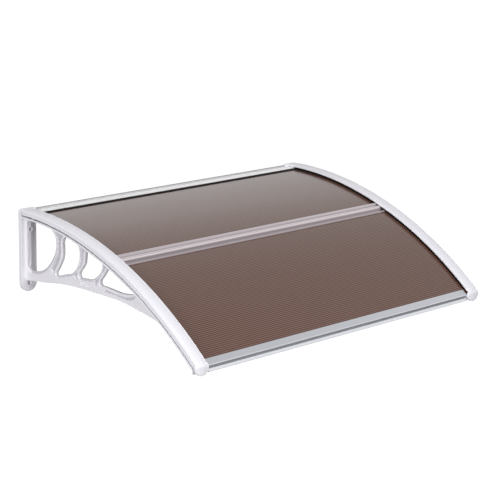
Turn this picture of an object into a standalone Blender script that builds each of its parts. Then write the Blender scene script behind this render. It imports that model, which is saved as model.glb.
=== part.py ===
"""Door canopy of bronze twin-wall polycarbonate on two moulded wall brackets.

World frame: X runs along the wall, -Y points away from it and Z is up. The origin is the
middle of the wall seal's back face, on the wall plane and at the height of the roof's crown.

Roof coordinates: a run is an arc length from the wall plane along the roof's datum arc, and a
rise is a height above that arc. The bracket's arm is drawn in runs and in depths under its
top flange.
"""

import math

import bmesh
import bpy
from mathutils import Matrix, Vector

MM = 0.001
# How far a cutter runs past a face, and a joined solid into its neighbour
OVERLAP = 1 * MM

# Roof: the datum arc lies just under the top skin of the sheets
WIDTH = 1000 * MM
ROOF_RADIUS = 1121.5 * MM
CROWN_SETBACK = 94.4 * MM
CLEARANCE = 0.3 * MM
SHEET_THICKNESS = 5.0 * MM
SHEET_TOP = 0.3 * MM
SKIN = 0.5 * MM
RIB = 0.45 * MM
FLUTE_PITCH = 5.7 * MM
SHEET_EDGE = 12.5 * MM
REAR_SHEET_RUN = 34.5 * MM
BAR_RUN = 411.5 * MM
BAR_WEB = 9.0 * MM
SHEET_PAST_NOSE = 2.1 * MM

# Wall plate of a bracket
PLATE_WIDTH = 49 * MM
PLATE_THICKNESS = 12 * MM
PLATE_TOP = 9.5 * MM
PLATE_HOLE_HEIGHT = -197.5 * MM
PLATE_TOP_CORNER = 6 * MM
PLATE_EDGE_ROUND = 4 * MM
PLATE_WALL = 3 * MM
PLATE_CORE = 8 * MM
PLATE_RIB = 2.5 * MM
PLATE_RIB_PITCH = 36 * MM
PAD_RADIUS = 12 * MM
UPPER_HOLE_HEIGHT = -46 * MM
UPPER_BOSS_RADIUS = 8 * MM
UPPER_BOSS_REACH = 21.5 * MM
UPPER_BOSS_BEVEL = 1 * MM
HOLE_RADIUS = 2.75 * MM
COUNTERBORE_RADIUS = 5.5 * MM
LOWER_COUNTERBORE_RADIUS = 6.5 * MM
COUNTERBORE_DEPTH = 5 * MM

# Arm and flange of a bracket
ARM_EDGE = 14.6 * MM
ARM_THICKNESS = 12 * MM
ARM_EDGE_ROUND = 3.5 * MM
POCKET_DEPTH = 4.4 * MM
POCKET_DRAFT = 1.0 * MM
POCKET_TOP_RIM = 7 * MM
POCKET_CORNER = 2 * MM
LEG_DEPTH = 8 * MM
LEG_FILLET = 8 * MM
CHORD_ROOT_HEIGHT = -187 * MM
FLANGE_WIDTH = 36 * MM
FLANGE_THICKNESS = 5 * MM
ARM_COVER = 0.5 * MM
TAB_GAP = 1 * MM
TAB_THICKNESS = 4 * MM
TAB_DROP = 17.24 * MM

# Corners of the arm's openings: at the leg, at a strut's two edges and at the chord's tail
OPENING_TOP = 1 * MM
LEG_HEAD_RUN = 15 * MM
LEG_HEAD_DROP = 14 * MM
LEG_HEAD_CORNER = (4 * MM, 5 * MM)
LEG_FOOT_RISE = 9 * MM
LEG_FOOT_CORNER = (6 * MM, 1 * MM)
STRUT_FRONT_CORNER = 12 * MM
STRUT_WALL_CORNER = 14 * MM
TAIL_CORNER = 10 * MM

# Struts, in millimetres of run and of depth under the flange, each edge from top to foot
WALL_EDGES = (
    ((135, 10), (149, 23), (156, 43), (153, 68), (136, 95)),
    ((256, 11), (266, 26), (269, 41), (268, 56), (263, 72), (254, 86)),
    ((364, 6), (369, 14), (371, 27), (368, 41), (362, 52), (355, 60)),
)
FRONT_EDGES = (
    ((198, 11), (189, 27), (191, 47), (192, 62), (189, 77), (182, 91), (174, 104), (167, 114), (161, 125)),
    ((304, 7), (296, 20), (296, 35), (296, 50), (291, 61), (284, 72), (277, 83), (278, 92)),
    ((408, 5), (397, 12), (393, 23), (388, 34), (383, 46), (376, 58), (375, 68)),
)
# Rims between a strut's edges and its sunk pocket, and the line at which the pocket ends below
STRUT_RIMS = ((11, 7), (8.5, 5.6), (6.5, 5.6))
STRUT_FEET = (((138, 117), (153, 131)), ((252, 98), (267, 108)), ((349, 77), (361, 88)))
# Upper edge of the chord in each bay, from the bay's front end toward the wall
CHORD_TOP = (
    ((114, 117), (92, 131), (69, 139), (43, 144)),
    ((242, 97), (226, 106), (209, 112), (187, 121), (171, 127)),
    ((349, 67), (340, 74), (320, 83), (299, 90), (286, 94)),
    ((524, 6), (519, 13), (511, 21), (493, 32), (475, 42), (455, 50), (425, 59), (394, 68), (381, 72)),
)
# Lower edge of the chord from the plate to its tail, which runs out in the flange
CHORD_BOTTOM = ((42, 167), (101, 160), (159, 148), (216, 135), (272, 122), (326, 109), (379, 94),
                (431, 77), (481, 59), (532, 44), (581, 27), (610, 17), (640, 8), (668, -2))
# Long sunk pockets in the chord under the third and fourth bays
CHORD_POCKETS = (
    ((291, 101.5), (312, 94.5), (332, 88), (343, 91.5), (336, 97.5), (312, 104), (293, 109)),
    ((400, 74.5), (425, 67), (455, 58), (477, 49.5), (497, 39.5), (513, 29), (526, 16), (521, 29),
     (503, 44.5), (480, 54.5), (455, 62.5), (428, 71.5), (401, 80.5)),
)

# Edge cover
COVER_WIDTH = 36 * MM
COVER_RISE = 14 * MM
COVER_CAMBER = 1.8 * MM
COVER_CORNER = 3 * MM
COVER_WALL = 2.8 * MM
COVER_LIP_WALLS = 1.6
HOLLOW_PAST_LIP = 2.5 * MM
COVER_REAR_GAP = 4 * MM
OUTER_LIP_RISE = -1 * MM
INNER_LIP_RISE = 7 * MM
NOSE_RUN = 797.4 * MM
NOSE_BEND = 16 * MM
NOSE_RADIUS = 20.75 * MM
NOSE_CENTRE = 19.5 * MM
NOSE_DEPTH = 10 * MM
NECK_LENGTH = 14 * MM
NECK_HALF_WIDTH = 17 * MM

# Clamp screws, from below through the flange into the cover's bosses
SCREW_EDGE = 8.6 * MM
REAR_SCREW_RUNS = (62 * MM, 236 * MM, 372 * MM, 560 * MM)
LAST_SCREW_SETBACK = 55.4 * MM
SCREW_SHANK_RADIUS = 2 * MM
SCREW_HEAD_RADIUS = 3.8 * MM
SCREW_HEAD_HEIGHT = 2.6 * MM
SCREW_REACH = 16 * MM
SCREW_TIP_LENGTH = 2 * MM
SCREW_TIP_RADIUS = 0.4 * MM
SCREW_RECESS_WIDTH = 1.0 * MM
SCREW_RECESS_DEPTH = 1.4 * MM
BOSS_RADIUS = 3.2 * MM

# Seals and cross profiles
SEAL_WIDTH = 5 * MM
WALL_SEAL_HEIGHT = 12 * MM
RAIL_FRONT = 40 * MM
RAIL_WALL = 2.4 * MM
RAIL_LIP_DROOP = 1.5 * MM
RAIL_LOWER_SETBACK = 2 * MM
GASKET_LENGTH = 7 * MM
GASKET_HEIGHT = 3.0 * MM
GASKET_LIP = 0.8 * MM
UNDER_FLANGE = 2.0 * MM
BAR_TOP_HALF = 24 * MM
BAR_BOTTOM_HALF = 17 * MM
# Ridged cap of the middle bar, as shares of its length and of its height
BAR_CAP = ((0, 0.55), (0.04, 0.85), (0.12, 0.8), (0.24, 0.5), (0.36, 0.78), (0.44, 1.0), (0.56, 1.0),
           (0.68, 0.62), (0.82, 0.4), (0.9, 0.42), (0.97, 0.3), (1, 0.1))
FRONT_RAIL_GRIP = 15 * MM
FRONT_RAIL_TOP = 2.2 * MM
FRONT_RAIL_REACH = 3.4 * MM
FRONT_RAIL_HEIGHT = 18 * MM
FRONT_RAIL_ROUND = 3 * MM
FRONT_GROOVE_DEPTH = 1.2 * MM
FRONT_GROOVE_DROP = 7 * MM
FRONT_GROOVE_HEIGHT = 4 * MM
FRONT_GROOVE_TOP_SLOPE = 0.6 * MM
FRONT_GROOVE_FOOT_SLOPE = 0.8 * MM
FRONT_RAIL_LIP = 1.6 * MM
FRONT_LIP_HEIGHT = 1.5 * MM
FRONT_LIP_TURN = 0.5 * MM
NOSE_GAP = 0.5 * MM

# Places that follow from the sizes above
WALL_ANGLE = math.asin(CROWN_SETBACK / ROOF_RADIUS)
SHEET_BOTTOM = SHEET_TOP - SHEET_THICKNESS
FLANGE_TOP = SHEET_BOTTOM - CLEARANCE
FLANGE_UNDERSIDE = FLANGE_TOP - FLANGE_THICKNESS
ON_SHEET = SHEET_TOP + CLEARANCE
UNDER_LIP = INNER_LIP_RISE - CLEARANCE
COVER_REAR = -PLATE_THICKNESS - COVER_REAR_GAP
FRONT_SHEET_RUN = NOSE_RUN + SHEET_PAST_NOSE
FRONT_RAIL_RUN = FRONT_SHEET_RUN - FRONT_RAIL_GRIP
SCREW_RUNS = (*REAR_SCREW_RUNS, NOSE_RUN - LAST_SCREW_SETBACK)

# Mesh fineness
ARC_STEP = 36 * MM
OUTLINE_STEP = 12 * MM
ROUND_STEPS = 2
NOSE_BEND_STEPS = 5
NOSE_TIP_STEPS = 7
NOSE_TIP_ANGLE = 84
WELD = 0.01 * MM
SMOOTH_ANGLE = math.radians(32)


def roof_point(run, rise):
    """Y and Z of a place over the datum arc."""
    angle = run / ROOF_RADIUS - WALL_ANGLE
    radius = ROOF_RADIUS + rise
    return Vector((-CROWN_SETBACK - radius * math.sin(angle), radius * math.cos(angle) - ROOF_RADIUS))


def roof_height(y, rise):
    """Z over the datum arc at a distance from the wall."""
    radius = ROOF_RADIUS + rise
    return math.sqrt(radius ** 2 - (y + CROWN_SETBACK) ** 2) - ROOF_RADIUS


def roof_run(y, rise):
    """Run at which a place of the given rise has the given Y."""
    radius = ROOF_RADIUS + rise
    return ROOF_RADIUS * (math.asin(-(y + CROWN_SETBACK) / radius) + WALL_ANGLE)


def roof_arc(start, end, rise):
    """Points along the roof between two runs."""
    count = max(1, math.ceil(abs(end - start) / ARC_STEP))
    return [roof_point(start + (end - start) * i / count, rise) for i in range(count + 1)]


def arm_point(run, depth):
    """Y and Z of a place given by its run and its depth under the flange."""
    return roof_point(run, FLANGE_UNDERSIDE - depth)


def arc_points(centre, radius, start, end, steps):
    """Points on a circle between two angles in degrees."""
    angles = [math.radians(start + (end - start) * i / steps) for i in range(steps + 1)]
    return [Vector((centre[0] + radius * math.cos(a), centre[1] + radius * math.sin(a))) for a in angles]


def spline_span(before, start, end, after, steps):
    """Centripetal Catmull-Rom points from start up to, but not including, end."""
    knots = [0.0]
    for first, second in ((before, start), (start, end), (end, after)):
        knots.append(knots[-1] + max((second - first).length, 1e-6) ** 0.5)
    t0, t1, t2, t3 = knots
    points = []
    for i in range(steps):
        t = t1 + (t2 - t1) * i / steps
        a1 = before * ((t1 - t) / (t1 - t0)) + start * ((t - t0) / (t1 - t0))
        a2 = start * ((t2 - t) / (t2 - t1)) + end * ((t - t1) / (t2 - t1))
        a3 = end * ((t3 - t) / (t3 - t2)) + after * ((t - t2) / (t3 - t2))
        b1 = a1 * ((t2 - t) / (t2 - t0)) + a2 * ((t - t0) / (t2 - t0))
        b2 = a2 * ((t3 - t) / (t3 - t1)) + a3 * ((t - t1) / (t3 - t1))
        points.append(b1 * ((t2 - t) / (t2 - t1)) + b2 * ((t - t1) / (t2 - t1)))
    return points


def smooth_line(points, closed=False):
    """Smooth line through the points, with a vertex about every OUTLINE_STEP."""
    points = [Vector(point) for point in points]
    count = len(points)
    if closed:
        spans = [(points[i - 1], points[i], points[(i + 1) % count], points[(i + 2) % count])
                 for i in range(count)]
    else:
        padded = [points[0] * 2 - points[1], *points, points[-1] * 2 - points[-2]]
        spans = [tuple(padded[i:i + 4]) for i in range(count - 1)]
    line = []
    for before, start, end, after in spans:
        steps = max(1, round((end - start).length / OUTLINE_STEP))
        line.extend(spline_span(before, start, end, after, steps))
    if not closed:
        line.append(points[-1])
    return line


def shifted_line(points, distance, closed=False):
    """The line moved sideways, to the right of its direction where the second axis points down."""
    count = len(points)
    moved = []
    for i, point in enumerate(points):
        before = points[i - 1] if closed or i else point
        after = points[(i + 1) % count] if closed or i < count - 1 else point
        direction = (after - before).normalized()
        moved.append(point + Vector((direction.y, -direction.x)) * distance)
    return moved


def turned_outward(loop):
    """The loop in the order in which shifted_line widens it."""
    area = sum(a.x * b.y - b.x * a.y for a, b in zip(loop, loop[1:] + loop[:1]))
    return loop if area > 0 else loop[::-1]


def millimetres(points):
    """Points drawn in millimetres, in metres."""
    return [Vector(point) * MM for point in points]


def on_arm(points):
    """Y and Z of places drawn in run and depth under the flange, in millimetres."""
    return [arm_point(*point) for point in millimetres(points)]


def loft(rings):
    """Closed solid through rings of 3-D points that have the same count."""
    bm = bmesh.new()
    rows = [[bm.verts.new(point) for point in ring] for ring in rings]
    for lower, upper in zip(rows, rows[1:]):
        for i in range(len(lower)):
            j = (i + 1) % len(lower)
            bm.faces.new((lower[i], lower[j], upper[j], upper[i]))
    bm.faces.new(rows[0])
    bm.faces.new(reversed(rows[-1]))
    bmesh.ops.recalc_face_normals(bm, faces=bm.faces)
    return bm


def prism(outline, x_start, x_end):
    """Solid with a Y-Z outline and a length along X."""
    return loft([[(x, y, z) for y, z in outline] for x in (x_start, x_end)])


def block(x_range, y_range, z_range):
    """Box between two limits on each axis."""
    outline = [(y_range[0], z_range[0]), (y_range[1], z_range[0]),
               (y_range[1], z_range[1]), (y_range[0], z_range[1])]
    return prism(outline, *x_range)


def turned(profile, matrix, segments=16):
    """Solid of revolution from radius and height pairs, about the matrix's Z axis."""
    rings = []
    for radius, height in profile:
        angles = [2 * math.pi * i / segments for i in range(segments)]
        rings.append([matrix @ Vector((radius * math.cos(a), radius * math.sin(a), height)) for a in angles])
    return loft(rings)


def store_mesh(bm, mesh):
    """Write the welded solid to a mesh, smooth where its faces meet at a low angle."""
    bmesh.ops.remove_doubles(bm, verts=bm.verts, dist=WELD)
    bmesh.ops.dissolve_degenerate(bm, edges=bm.edges, dist=WELD)
    bmesh.ops.recalc_face_normals(bm, faces=bm.faces)
    bm.to_mesh(mesh)
    bm.free()
    mesh.shade_smooth()
    mesh.set_sharp_from_angle(angle=SMOOTH_ANGLE)


def add_object(bm, name, material):
    """Put a solid in the scene under its name."""
    mesh = bpy.data.meshes.new(name)
    store_mesh(bm, mesh)
    if material is not None:
        mesh.materials.append(material)
    obj = bpy.data.objects.new(name, mesh)
    bpy.context.scene.collection.objects.link(obj)
    return obj


def combine(obj, solids, operation):
    """Join solids to an object, or cut them out of it, and keep the plain result."""
    tools = []
    for i, solid in enumerate(solids):
        tool = add_object(solid, f"{obj.name}_tool_{i}", None)
        tool.hide_render = True
        tool.display_type = "WIRE"
        modifier = obj.modifiers.new(tool.name, "BOOLEAN")
        modifier.operation = operation
        modifier.solver = "EXACT"
        modifier.object = tool
        tools.append(tool)
    bpy.context.view_layer.update()
    evaluated = obj.evaluated_get(bpy.context.evaluated_depsgraph_get())
    mesh = bpy.data.meshes.new_from_object(evaluated)
    obj.modifiers.clear()
    obj.data = mesh
    for tool in tools:
        bpy.data.objects.remove(tool)
    bm = bmesh.new()
    bm.from_mesh(mesh)
    store_mesh(bm, mesh)


def taken_solid(obj):
    """The object's solid, after its removal from the scene."""
    bm = bmesh.new()
    bm.from_mesh(obj.data)
    bpy.data.objects.remove(obj)
    return bm


def mirrored(obj, name):
    """Copy of an object of the left side for the right side."""
    bm = bmesh.new()
    bm.from_mesh(obj.data)
    bmesh.ops.transform(bm, matrix=Matrix.Scale(-1, 4, (1, 0, 0)), verts=bm.verts)
    bmesh.ops.reverse_faces(bm, faces=bm.faces)
    return add_object(bm, name, obj.data.materials[0])


def surface(name, colour, roughness, metallic=0.0, alpha=1.0):
    """Principled material of a part."""
    material = bpy.data.materials.new(name)
    material.use_nodes = True
    shader = material.node_tree.nodes["Principled BSDF"]
    shader.inputs["Base Color"].default_value = (*colour, 1.0)
    shader.inputs["Roughness"].default_value = roughness
    shader.inputs["Metallic"].default_value = metallic
    shader.inputs["Alpha"].default_value = alpha
    material.diffuse_color = (*colour, alpha)
    return material


def side_x(across):
    """World X of a distance measured inward from the left cover's outer plane."""
    return across - WIDTH / 2


def radial_frame(across, run, rise):
    """Frame on the roof whose Z axis points straight out of it."""
    y, z = roof_point(run, rise)
    turn = Matrix.Rotation(run / ROOF_RADIUS - WALL_ANGLE, 4, "X")
    return Matrix.Translation((side_x(across), y, z)) @ turn


def forward_frame(across, z, y):
    """Frame whose Z axis points away from the wall."""
    return Matrix.Translation((side_x(across), y, z)) @ Matrix.Rotation(math.radians(90), 4, "X")


def plate_outline(inset):
    """X-Z outline of the wall plate: round at its foot, with rounded upper corners."""
    radius = PLATE_WIDTH / 2 - inset
    corner = max(PLATE_TOP_CORNER - inset, 0.5 * MM)
    foot = arc_points((PLATE_WIDTH / 2, PLATE_HOLE_HEIGHT), radius, 180, 360, 14)
    right = (PLATE_WIDTH - inset - corner, PLATE_TOP - inset - corner)
    left = (inset + corner, PLATE_TOP - inset - corner)
    return foot + arc_points(right, corner, 0, 90, 3) + arc_points(left, corner, 90, 180, 3)


def plate_ring(inset, y):
    return [(side_x(x), y, z) for x, z in plate_outline(inset)]


def wall_plate():
    """Plate with rounded front edges."""
    rings = [plate_ring(0, 0)]
    for i in range(ROUND_STEPS + 1):
        angle = math.radians(90 * i / ROUND_STEPS)
        inset = PLATE_EDGE_ROUND * (1 - math.cos(angle))
        rings.append(plate_ring(inset, -PLATE_THICKNESS + PLATE_EDGE_ROUND * (1 - math.sin(angle))))
    return loft(rings)


def plate_core():
    """Hollow in the plate's back, less the pads round the holes and the cross ribs."""
    ring = plate_outline(PLATE_WALL)
    rings = [[(side_x(x), y, z) for x, z in ring] for y in (OVERLAP, -PLATE_CORE)]
    core = add_object(loft(rings), "plate_core", None)
    middle = PLATE_WIDTH / 2
    keep = []
    for height in (UPPER_HOLE_HEIGHT, PLATE_HOLE_HEIGHT):
        frame = forward_frame(middle, height, 2 * OVERLAP)
        keep.append(turned([(PAD_RADIUS, 0), (PAD_RADIUS, PLATE_THICKNESS)], frame))
    height = UPPER_HOLE_HEIGHT + PLATE_RIB_PITCH
    while height > PLATE_HOLE_HEIGHT:
        rib_width = (side_x(-OVERLAP), side_x(PLATE_WIDTH + OVERLAP))
        rib_depth = (-PLATE_CORE - OVERLAP, 2 * OVERLAP)
        keep.append(block(rib_width, rib_depth, (height - PLATE_RIB / 2, height + PLATE_RIB / 2)))
        height -= PLATE_RIB_PITCH
    combine(core, keep, "DIFFERENCE")
    return taken_solid(core)


def screw_hole(height, mouth, radius):
    """Through hole for a wall screw with a counterbore for its head."""
    frame = forward_frame(PLATE_WIDTH / 2, height, OVERLAP)
    seat = mouth + OVERLAP - COUNTERBORE_DEPTH
    profile = [(HOLE_RADIUS, 0), (HOLE_RADIUS, seat), (radius, seat), (radius, mouth + 3 * OVERLAP)]
    return turned(profile, frame, 20)


def upper_boss():
    """Round boss of the upper wall screw, out of the leg of the arm."""
    foot = PLATE_CORE + OVERLAP
    frame = forward_frame(PLATE_WIDTH / 2, UPPER_HOLE_HEIGHT, -foot)
    length = UPPER_BOSS_REACH - foot
    profile = [(UPPER_BOSS_RADIUS, 0), (UPPER_BOSS_RADIUS, length - UPPER_BOSS_BEVEL),
               (UPPER_BOSS_RADIUS - UPPER_BOSS_BEVEL, length)]
    return turned(profile, frame, 20)


def arm_blank():
    """Arm without openings, its lower edge rounded on both faces."""
    root = Vector((-PLATE_THICKNESS / 2, CHORD_ROOT_HEIGHT))
    lower = smooth_line([root, *on_arm(CHORD_BOTTOM)])
    tail_run = CHORD_BOTTOM[-1][0] * MM
    top = roof_arc(roof_run(root.x, FLANGE_UNDERSIDE), tail_run, FLANGE_TOP - ARM_COVER)
    rings = []
    for x, round_off in arm_stations():
        raised = shifted_line(lower, -round_off)
        raised[0].x = root.x
        rings.append([(x, y, z) for y, z in raised + top[::-1]])
    return loft(rings)


def arm_stations():
    """X places through the arm's thickness, each with how far its edges are rounded off there."""
    near = side_x(ARM_EDGE)
    steps = []
    for i in range(ROUND_STEPS + 1):
        angle = math.radians(90 * (1 - i / ROUND_STEPS))
        steps.append((ARM_EDGE_ROUND * (1 - math.sin(angle)), ARM_EDGE_ROUND * (1 - math.cos(angle))))
    front = [(near + depth, off) for depth, off in steps]
    back = [(near + ARM_THICKNESS - depth, off) for depth, off in reversed(steps)]
    return front + back


def opening_outline(index):
    """Closed outline of one of the arm's four openings, in Y and Z."""
    if index == 0:
        leg = -PLATE_THICKNESS - LEG_DEPTH
        ceiling = roof_height(leg, FLANGE_UNDERSIDE)
        floor = on_arm(CHORD_TOP[0])[-1].y
        points = [Vector((leg - LEG_FOOT_CORNER[0], floor - LEG_FOOT_CORNER[1]))]
        points.append(Vector((leg, floor + LEG_FOOT_RISE)))
        points += [Vector((leg, floor + (ceiling - floor) * part)) for part in (0.25, 0.5, 0.75)]
        points.append(Vector((leg, ceiling - LEG_HEAD_DROP)))
        points.append(Vector((leg - LEG_HEAD_CORNER[0], ceiling - LEG_HEAD_CORNER[1])))
        start_run = roof_run(leg, FLANGE_UNDERSIDE) + LEG_HEAD_RUN
    else:
        front_edge = FRONT_EDGES[index - 1]
        points = on_arm(reversed(front_edge))
        start_run = front_edge[0][0] * MM + STRUT_FRONT_CORNER
    if index < len(WALL_EDGES):
        end_run = WALL_EDGES[index][0][0] * MM - STRUT_WALL_CORNER
        descent = on_arm(WALL_EDGES[index])
    else:
        end_run = CHORD_TOP[index][0][0] * MM - TAIL_CORNER
        descent = []
    count = max(1, round((end_run - start_run) / ARC_STEP))
    pitch = (end_run - start_run) / count
    points += [arm_point(start_run + pitch * i, OPENING_TOP) for i in range(count + 1)]
    return turned_outward(smooth_line(points + descent + on_arm(CHORD_TOP[index]), closed=True))


def opening_cutter(index):
    """Opening with rounded rims on both faces of the arm."""
    outline = opening_outline(index)
    stations = arm_stations()
    stations = [(stations[0][0] - 2 * OVERLAP, stations[0][1]), *stations,
                (stations[-1][0] + 2 * OVERLAP, stations[-1][1])]
    rings = []
    for x, widen in stations:
        rings.append([(x, y, z) for y, z in shifted_line(outline, widen, closed=True)])
    return loft(rings)


def strut_pocket(index):
    """Outline of the sunk pocket between a strut's rims, in Y and Z."""
    wall_rim, front_rim = (width * MM for width in STRUT_RIMS[index])
    wall_line = shifted_line(smooth_line(millimetres(WALL_EDGES[index])), wall_rim)
    front_line = shifted_line(smooth_line(millimetres(FRONT_EDGES[index])), -front_rim)
    sides = []
    for line in (wall_line, front_line):
        below = [place for place in line if place.y > POCKET_TOP_RIM + POCKET_CORNER]
        sides.append([Vector((below[0].x, POCKET_TOP_RIM)), *below])
    outline = sides[0] + millimetres(STRUT_FEET[index]) + sides[1][::-1]
    return [arm_point(*point) for point in outline]


def pocket_cutters(outline):
    """The same pocket in both faces of the arm, with sloping walls."""
    floor = turned_outward(outline)
    cutters = []
    for face, inward in ((side_x(ARM_EDGE), 1), (side_x(ARM_EDGE) + ARM_THICKNESS, -1)):
        rings = []
        for depth, widen in ((POCKET_DEPTH, 0), (0, POCKET_DRAFT), (-2 * OVERLAP, POCKET_DRAFT)):
            ring = shifted_line(floor, widen, closed=True)
            rings.append([(face + inward * depth, y, z) for y, z in ring])
        cutters.append(loft(rings))
    return cutters


def openwork_arm():
    """Arm with its four openings, and with pockets sunk in its struts and its chord."""
    obj = add_object(arm_blank(), "arm", None)
    cutters = [opening_cutter(i) for i in range(len(CHORD_TOP))]
    pockets = [strut_pocket(i) for i in range(len(WALL_EDGES))]
    pockets += [smooth_line(on_arm(points), closed=True) for points in CHORD_POCKETS]
    for outline in pockets:
        cutters += pocket_cutters(outline)
    combine(obj, cutters, "DIFFERENCE")
    return taken_solid(obj)


def nose_front():
    """Y of the cover's front face, Z of its round end's centre, and the roof's slope there."""
    angle = NOSE_RUN / ROOF_RADIUS - WALL_ANGLE
    y, z = roof_point(NOSE_RUN, COVER_RISE - NOSE_BEND)
    return y - NOSE_BEND, z, angle


def flange():
    """Top flange along the roof, with a tab turned down behind the cover's nose."""
    front, centre_z = nose_front()[:2]
    tab_front = front + NOSE_DEPTH + TAB_GAP
    tab_back = tab_front + TAB_THICKNESS
    root = -PLATE_THICKNESS / 2
    top = roof_arc(roof_run(root, FLANGE_TOP), roof_run(tab_front, FLANGE_TOP), FLANGE_TOP)
    bottom_start = roof_run(tab_back, FLANGE_UNDERSIDE)
    bottom = roof_arc(bottom_start, roof_run(root, FLANGE_UNDERSIDE), FLANGE_UNDERSIDE)
    tab_bottom = centre_z - TAB_DROP
    outline = top + [Vector((tab_front, tab_bottom)), Vector((tab_back, tab_bottom))] + bottom
    return prism(outline, side_x(0), side_x(FLANGE_WIDTH))


def leg_fillet(x_corner, direction):
    """Hollow fillet from the plate's front up one face of the leg."""
    front = -PLATE_THICKNESS
    inside = x_corner - direction * 2 * OVERLAP
    outside = x_corner + direction * LEG_FILLET
    start = 180 if direction > 0 else 0
    outline = [(inside, front - LEG_FILLET)]
    outline += arc_points((outside, front - LEG_FILLET), LEG_FILLET, start, 90, 6)
    outline += [(outside, front + 2 * OVERLAP), (inside, front + 2 * OVERLAP)]
    bottom = CHORD_ROOT_HEIGHT + ARM_EDGE_ROUND + OVERLAP
    top = roof_height(front - LEG_FILLET, FLANGE_UNDERSIDE) + FLANGE_THICKNESS / 2
    return loft([[(x, y, z) for x, y in outline] for z in (bottom, top)])


def bracket(material):
    """One-piece moulding: wall plate, leg, arm with struts, and top flange."""
    obj = add_object(wall_plate(), "bracket_left", material)
    near = side_x(ARM_EDGE)
    fillets = [leg_fillet(near, -1), leg_fillet(near + ARM_THICKNESS, 1)]
    combine(obj, [flange(), openwork_arm(), *fillets, upper_boss()], "UNION")
    cutters = [plate_core()]
    cutters.append(screw_hole(UPPER_HOLE_HEIGHT, UPPER_BOSS_REACH, COUNTERBORE_RADIUS))
    cutters.append(screw_hole(PLATE_HOLE_HEIGHT, PLATE_THICKNESS, LOWER_COUNTERBORE_RADIUS))
    for run in SCREW_RUNS:
        frame = radial_frame(SCREW_EDGE, run, FLANGE_UNDERSIDE - 2 * OVERLAP)
        radius = SCREW_SHANK_RADIUS + CLEARANCE
        cutters.append(turned([(radius, 0), (radius, FLANGE_THICKNESS + 4 * OVERLAP)], frame, 12))
    combine(obj, cutters, "DIFFERENCE")
    return obj


def cover_stations():
    """Path of the cover: place on its crown, slope, half width and progress round the nose."""
    front, centre_z, angle = nose_front()
    start = roof_run(COVER_REAR, COVER_RISE)
    stations = []
    count = math.ceil((NOSE_RUN - NECK_LENGTH - start) / ARC_STEP)
    for i in range(count + 1):
        stations.append((start + (NOSE_RUN - NECK_LENGTH - start) * i / count, COVER_WIDTH / 2))
    stations.append((NOSE_RUN - NECK_LENGTH / 2, (COVER_WIDTH / 2 + NECK_HALF_WIDTH) / 2))
    stations.append((NOSE_RUN, NECK_HALF_WIDTH))
    path = []
    for run, half_width in stations:
        turn = run / ROOF_RADIUS - WALL_ANGLE
        path.append((roof_point(run, COVER_RISE), turn, half_width, 0.0))
    bend_centre = Vector((front + NOSE_BEND, centre_z))
    for i in range(1, NOSE_BEND_STEPS + 1):
        turn = angle + (math.pi / 2 - angle) * i / NOSE_BEND_STEPS
        place = bend_centre + NOSE_BEND * Vector((-math.sin(turn), math.cos(turn)))
        half_width = max(NECK_HALF_WIDTH, math.sqrt(NOSE_RADIUS ** 2 - (NOSE_BEND * math.cos(turn)) ** 2))
        path.append((place, turn, half_width, i / NOSE_BEND_STEPS))
    return path, front, centre_z


def cover_ring(place, turn, half_width, centre, outer_depth, inner_depth, wall):
    """Ring of the cover's section: the outer skin, or with a wall the hollow inside it."""
    inward = Vector((math.sin(turn), -math.cos(turn)))
    reach = half_width - wall
    corner = min(max(COVER_CORNER - wall, 0.4 * MM), reach * 0.7)
    camber = COVER_CAMBER + wall
    flat = reach - corner
    points = [(-reach, outer_depth)]
    for i in range(3):
        angle = math.radians(45 * i)
        points.append((-flat - corner * math.cos(angle), camber + corner * (1 - math.sin(angle))))
    for share in (-0.5, 0, 0.5):
        points.append((flat * share, wall + COVER_CAMBER * share ** 2))
    for i in range(3):
        angle = math.radians(90 - 45 * i)
        points.append((flat + corner * math.cos(angle), camber + corner * (1 - math.sin(angle))))
    points.append((reach, inner_depth))
    if wall == 0:
        lip = min(COVER_WALL * COVER_LIP_WALLS, reach * 0.6)
        points.append((reach - lip, inner_depth))
        points.append((-reach + lip, outer_depth))
    ring = []
    for across, depth in points:
        y, z = place + inward * depth
        ring.append((side_x(centre + across), y, z))
    return ring


def cover_rings(wall, extra_depth):
    """Rings of the cover from its rear end round the nose to the tip."""
    path, front, centre_z = cover_stations()
    outer_depth = COVER_RISE - OUTER_LIP_RISE
    inner_depth = COVER_RISE - INNER_LIP_RISE
    rings = []
    for place, turn, half_width, share in path:
        centre = COVER_WIDTH / 2 + (NOSE_CENTRE - COVER_WIDTH / 2) * share
        outer = outer_depth + (NOSE_DEPTH - outer_depth) * share + extra_depth
        inner = inner_depth + (NOSE_DEPTH - inner_depth) * share + extra_depth
        if wall:
            outer = inner = max(outer, inner)
        rings.append(cover_ring(place, turn, half_width, centre, outer, inner, wall))
    radius = NOSE_RADIUS - wall
    for i in range(1, NOSE_TIP_STEPS + 1):
        angle = math.radians(NOSE_TIP_ANGLE * i / NOSE_TIP_STEPS)
        place = Vector((front, centre_z - radius * math.sin(angle)))
        depth = NOSE_DEPTH + extra_depth
        half_width = radius * math.cos(angle) + wall
        rings.append(cover_ring(place, math.pi / 2, half_width, NOSE_CENTRE, depth, depth, wall))
    return rings


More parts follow.
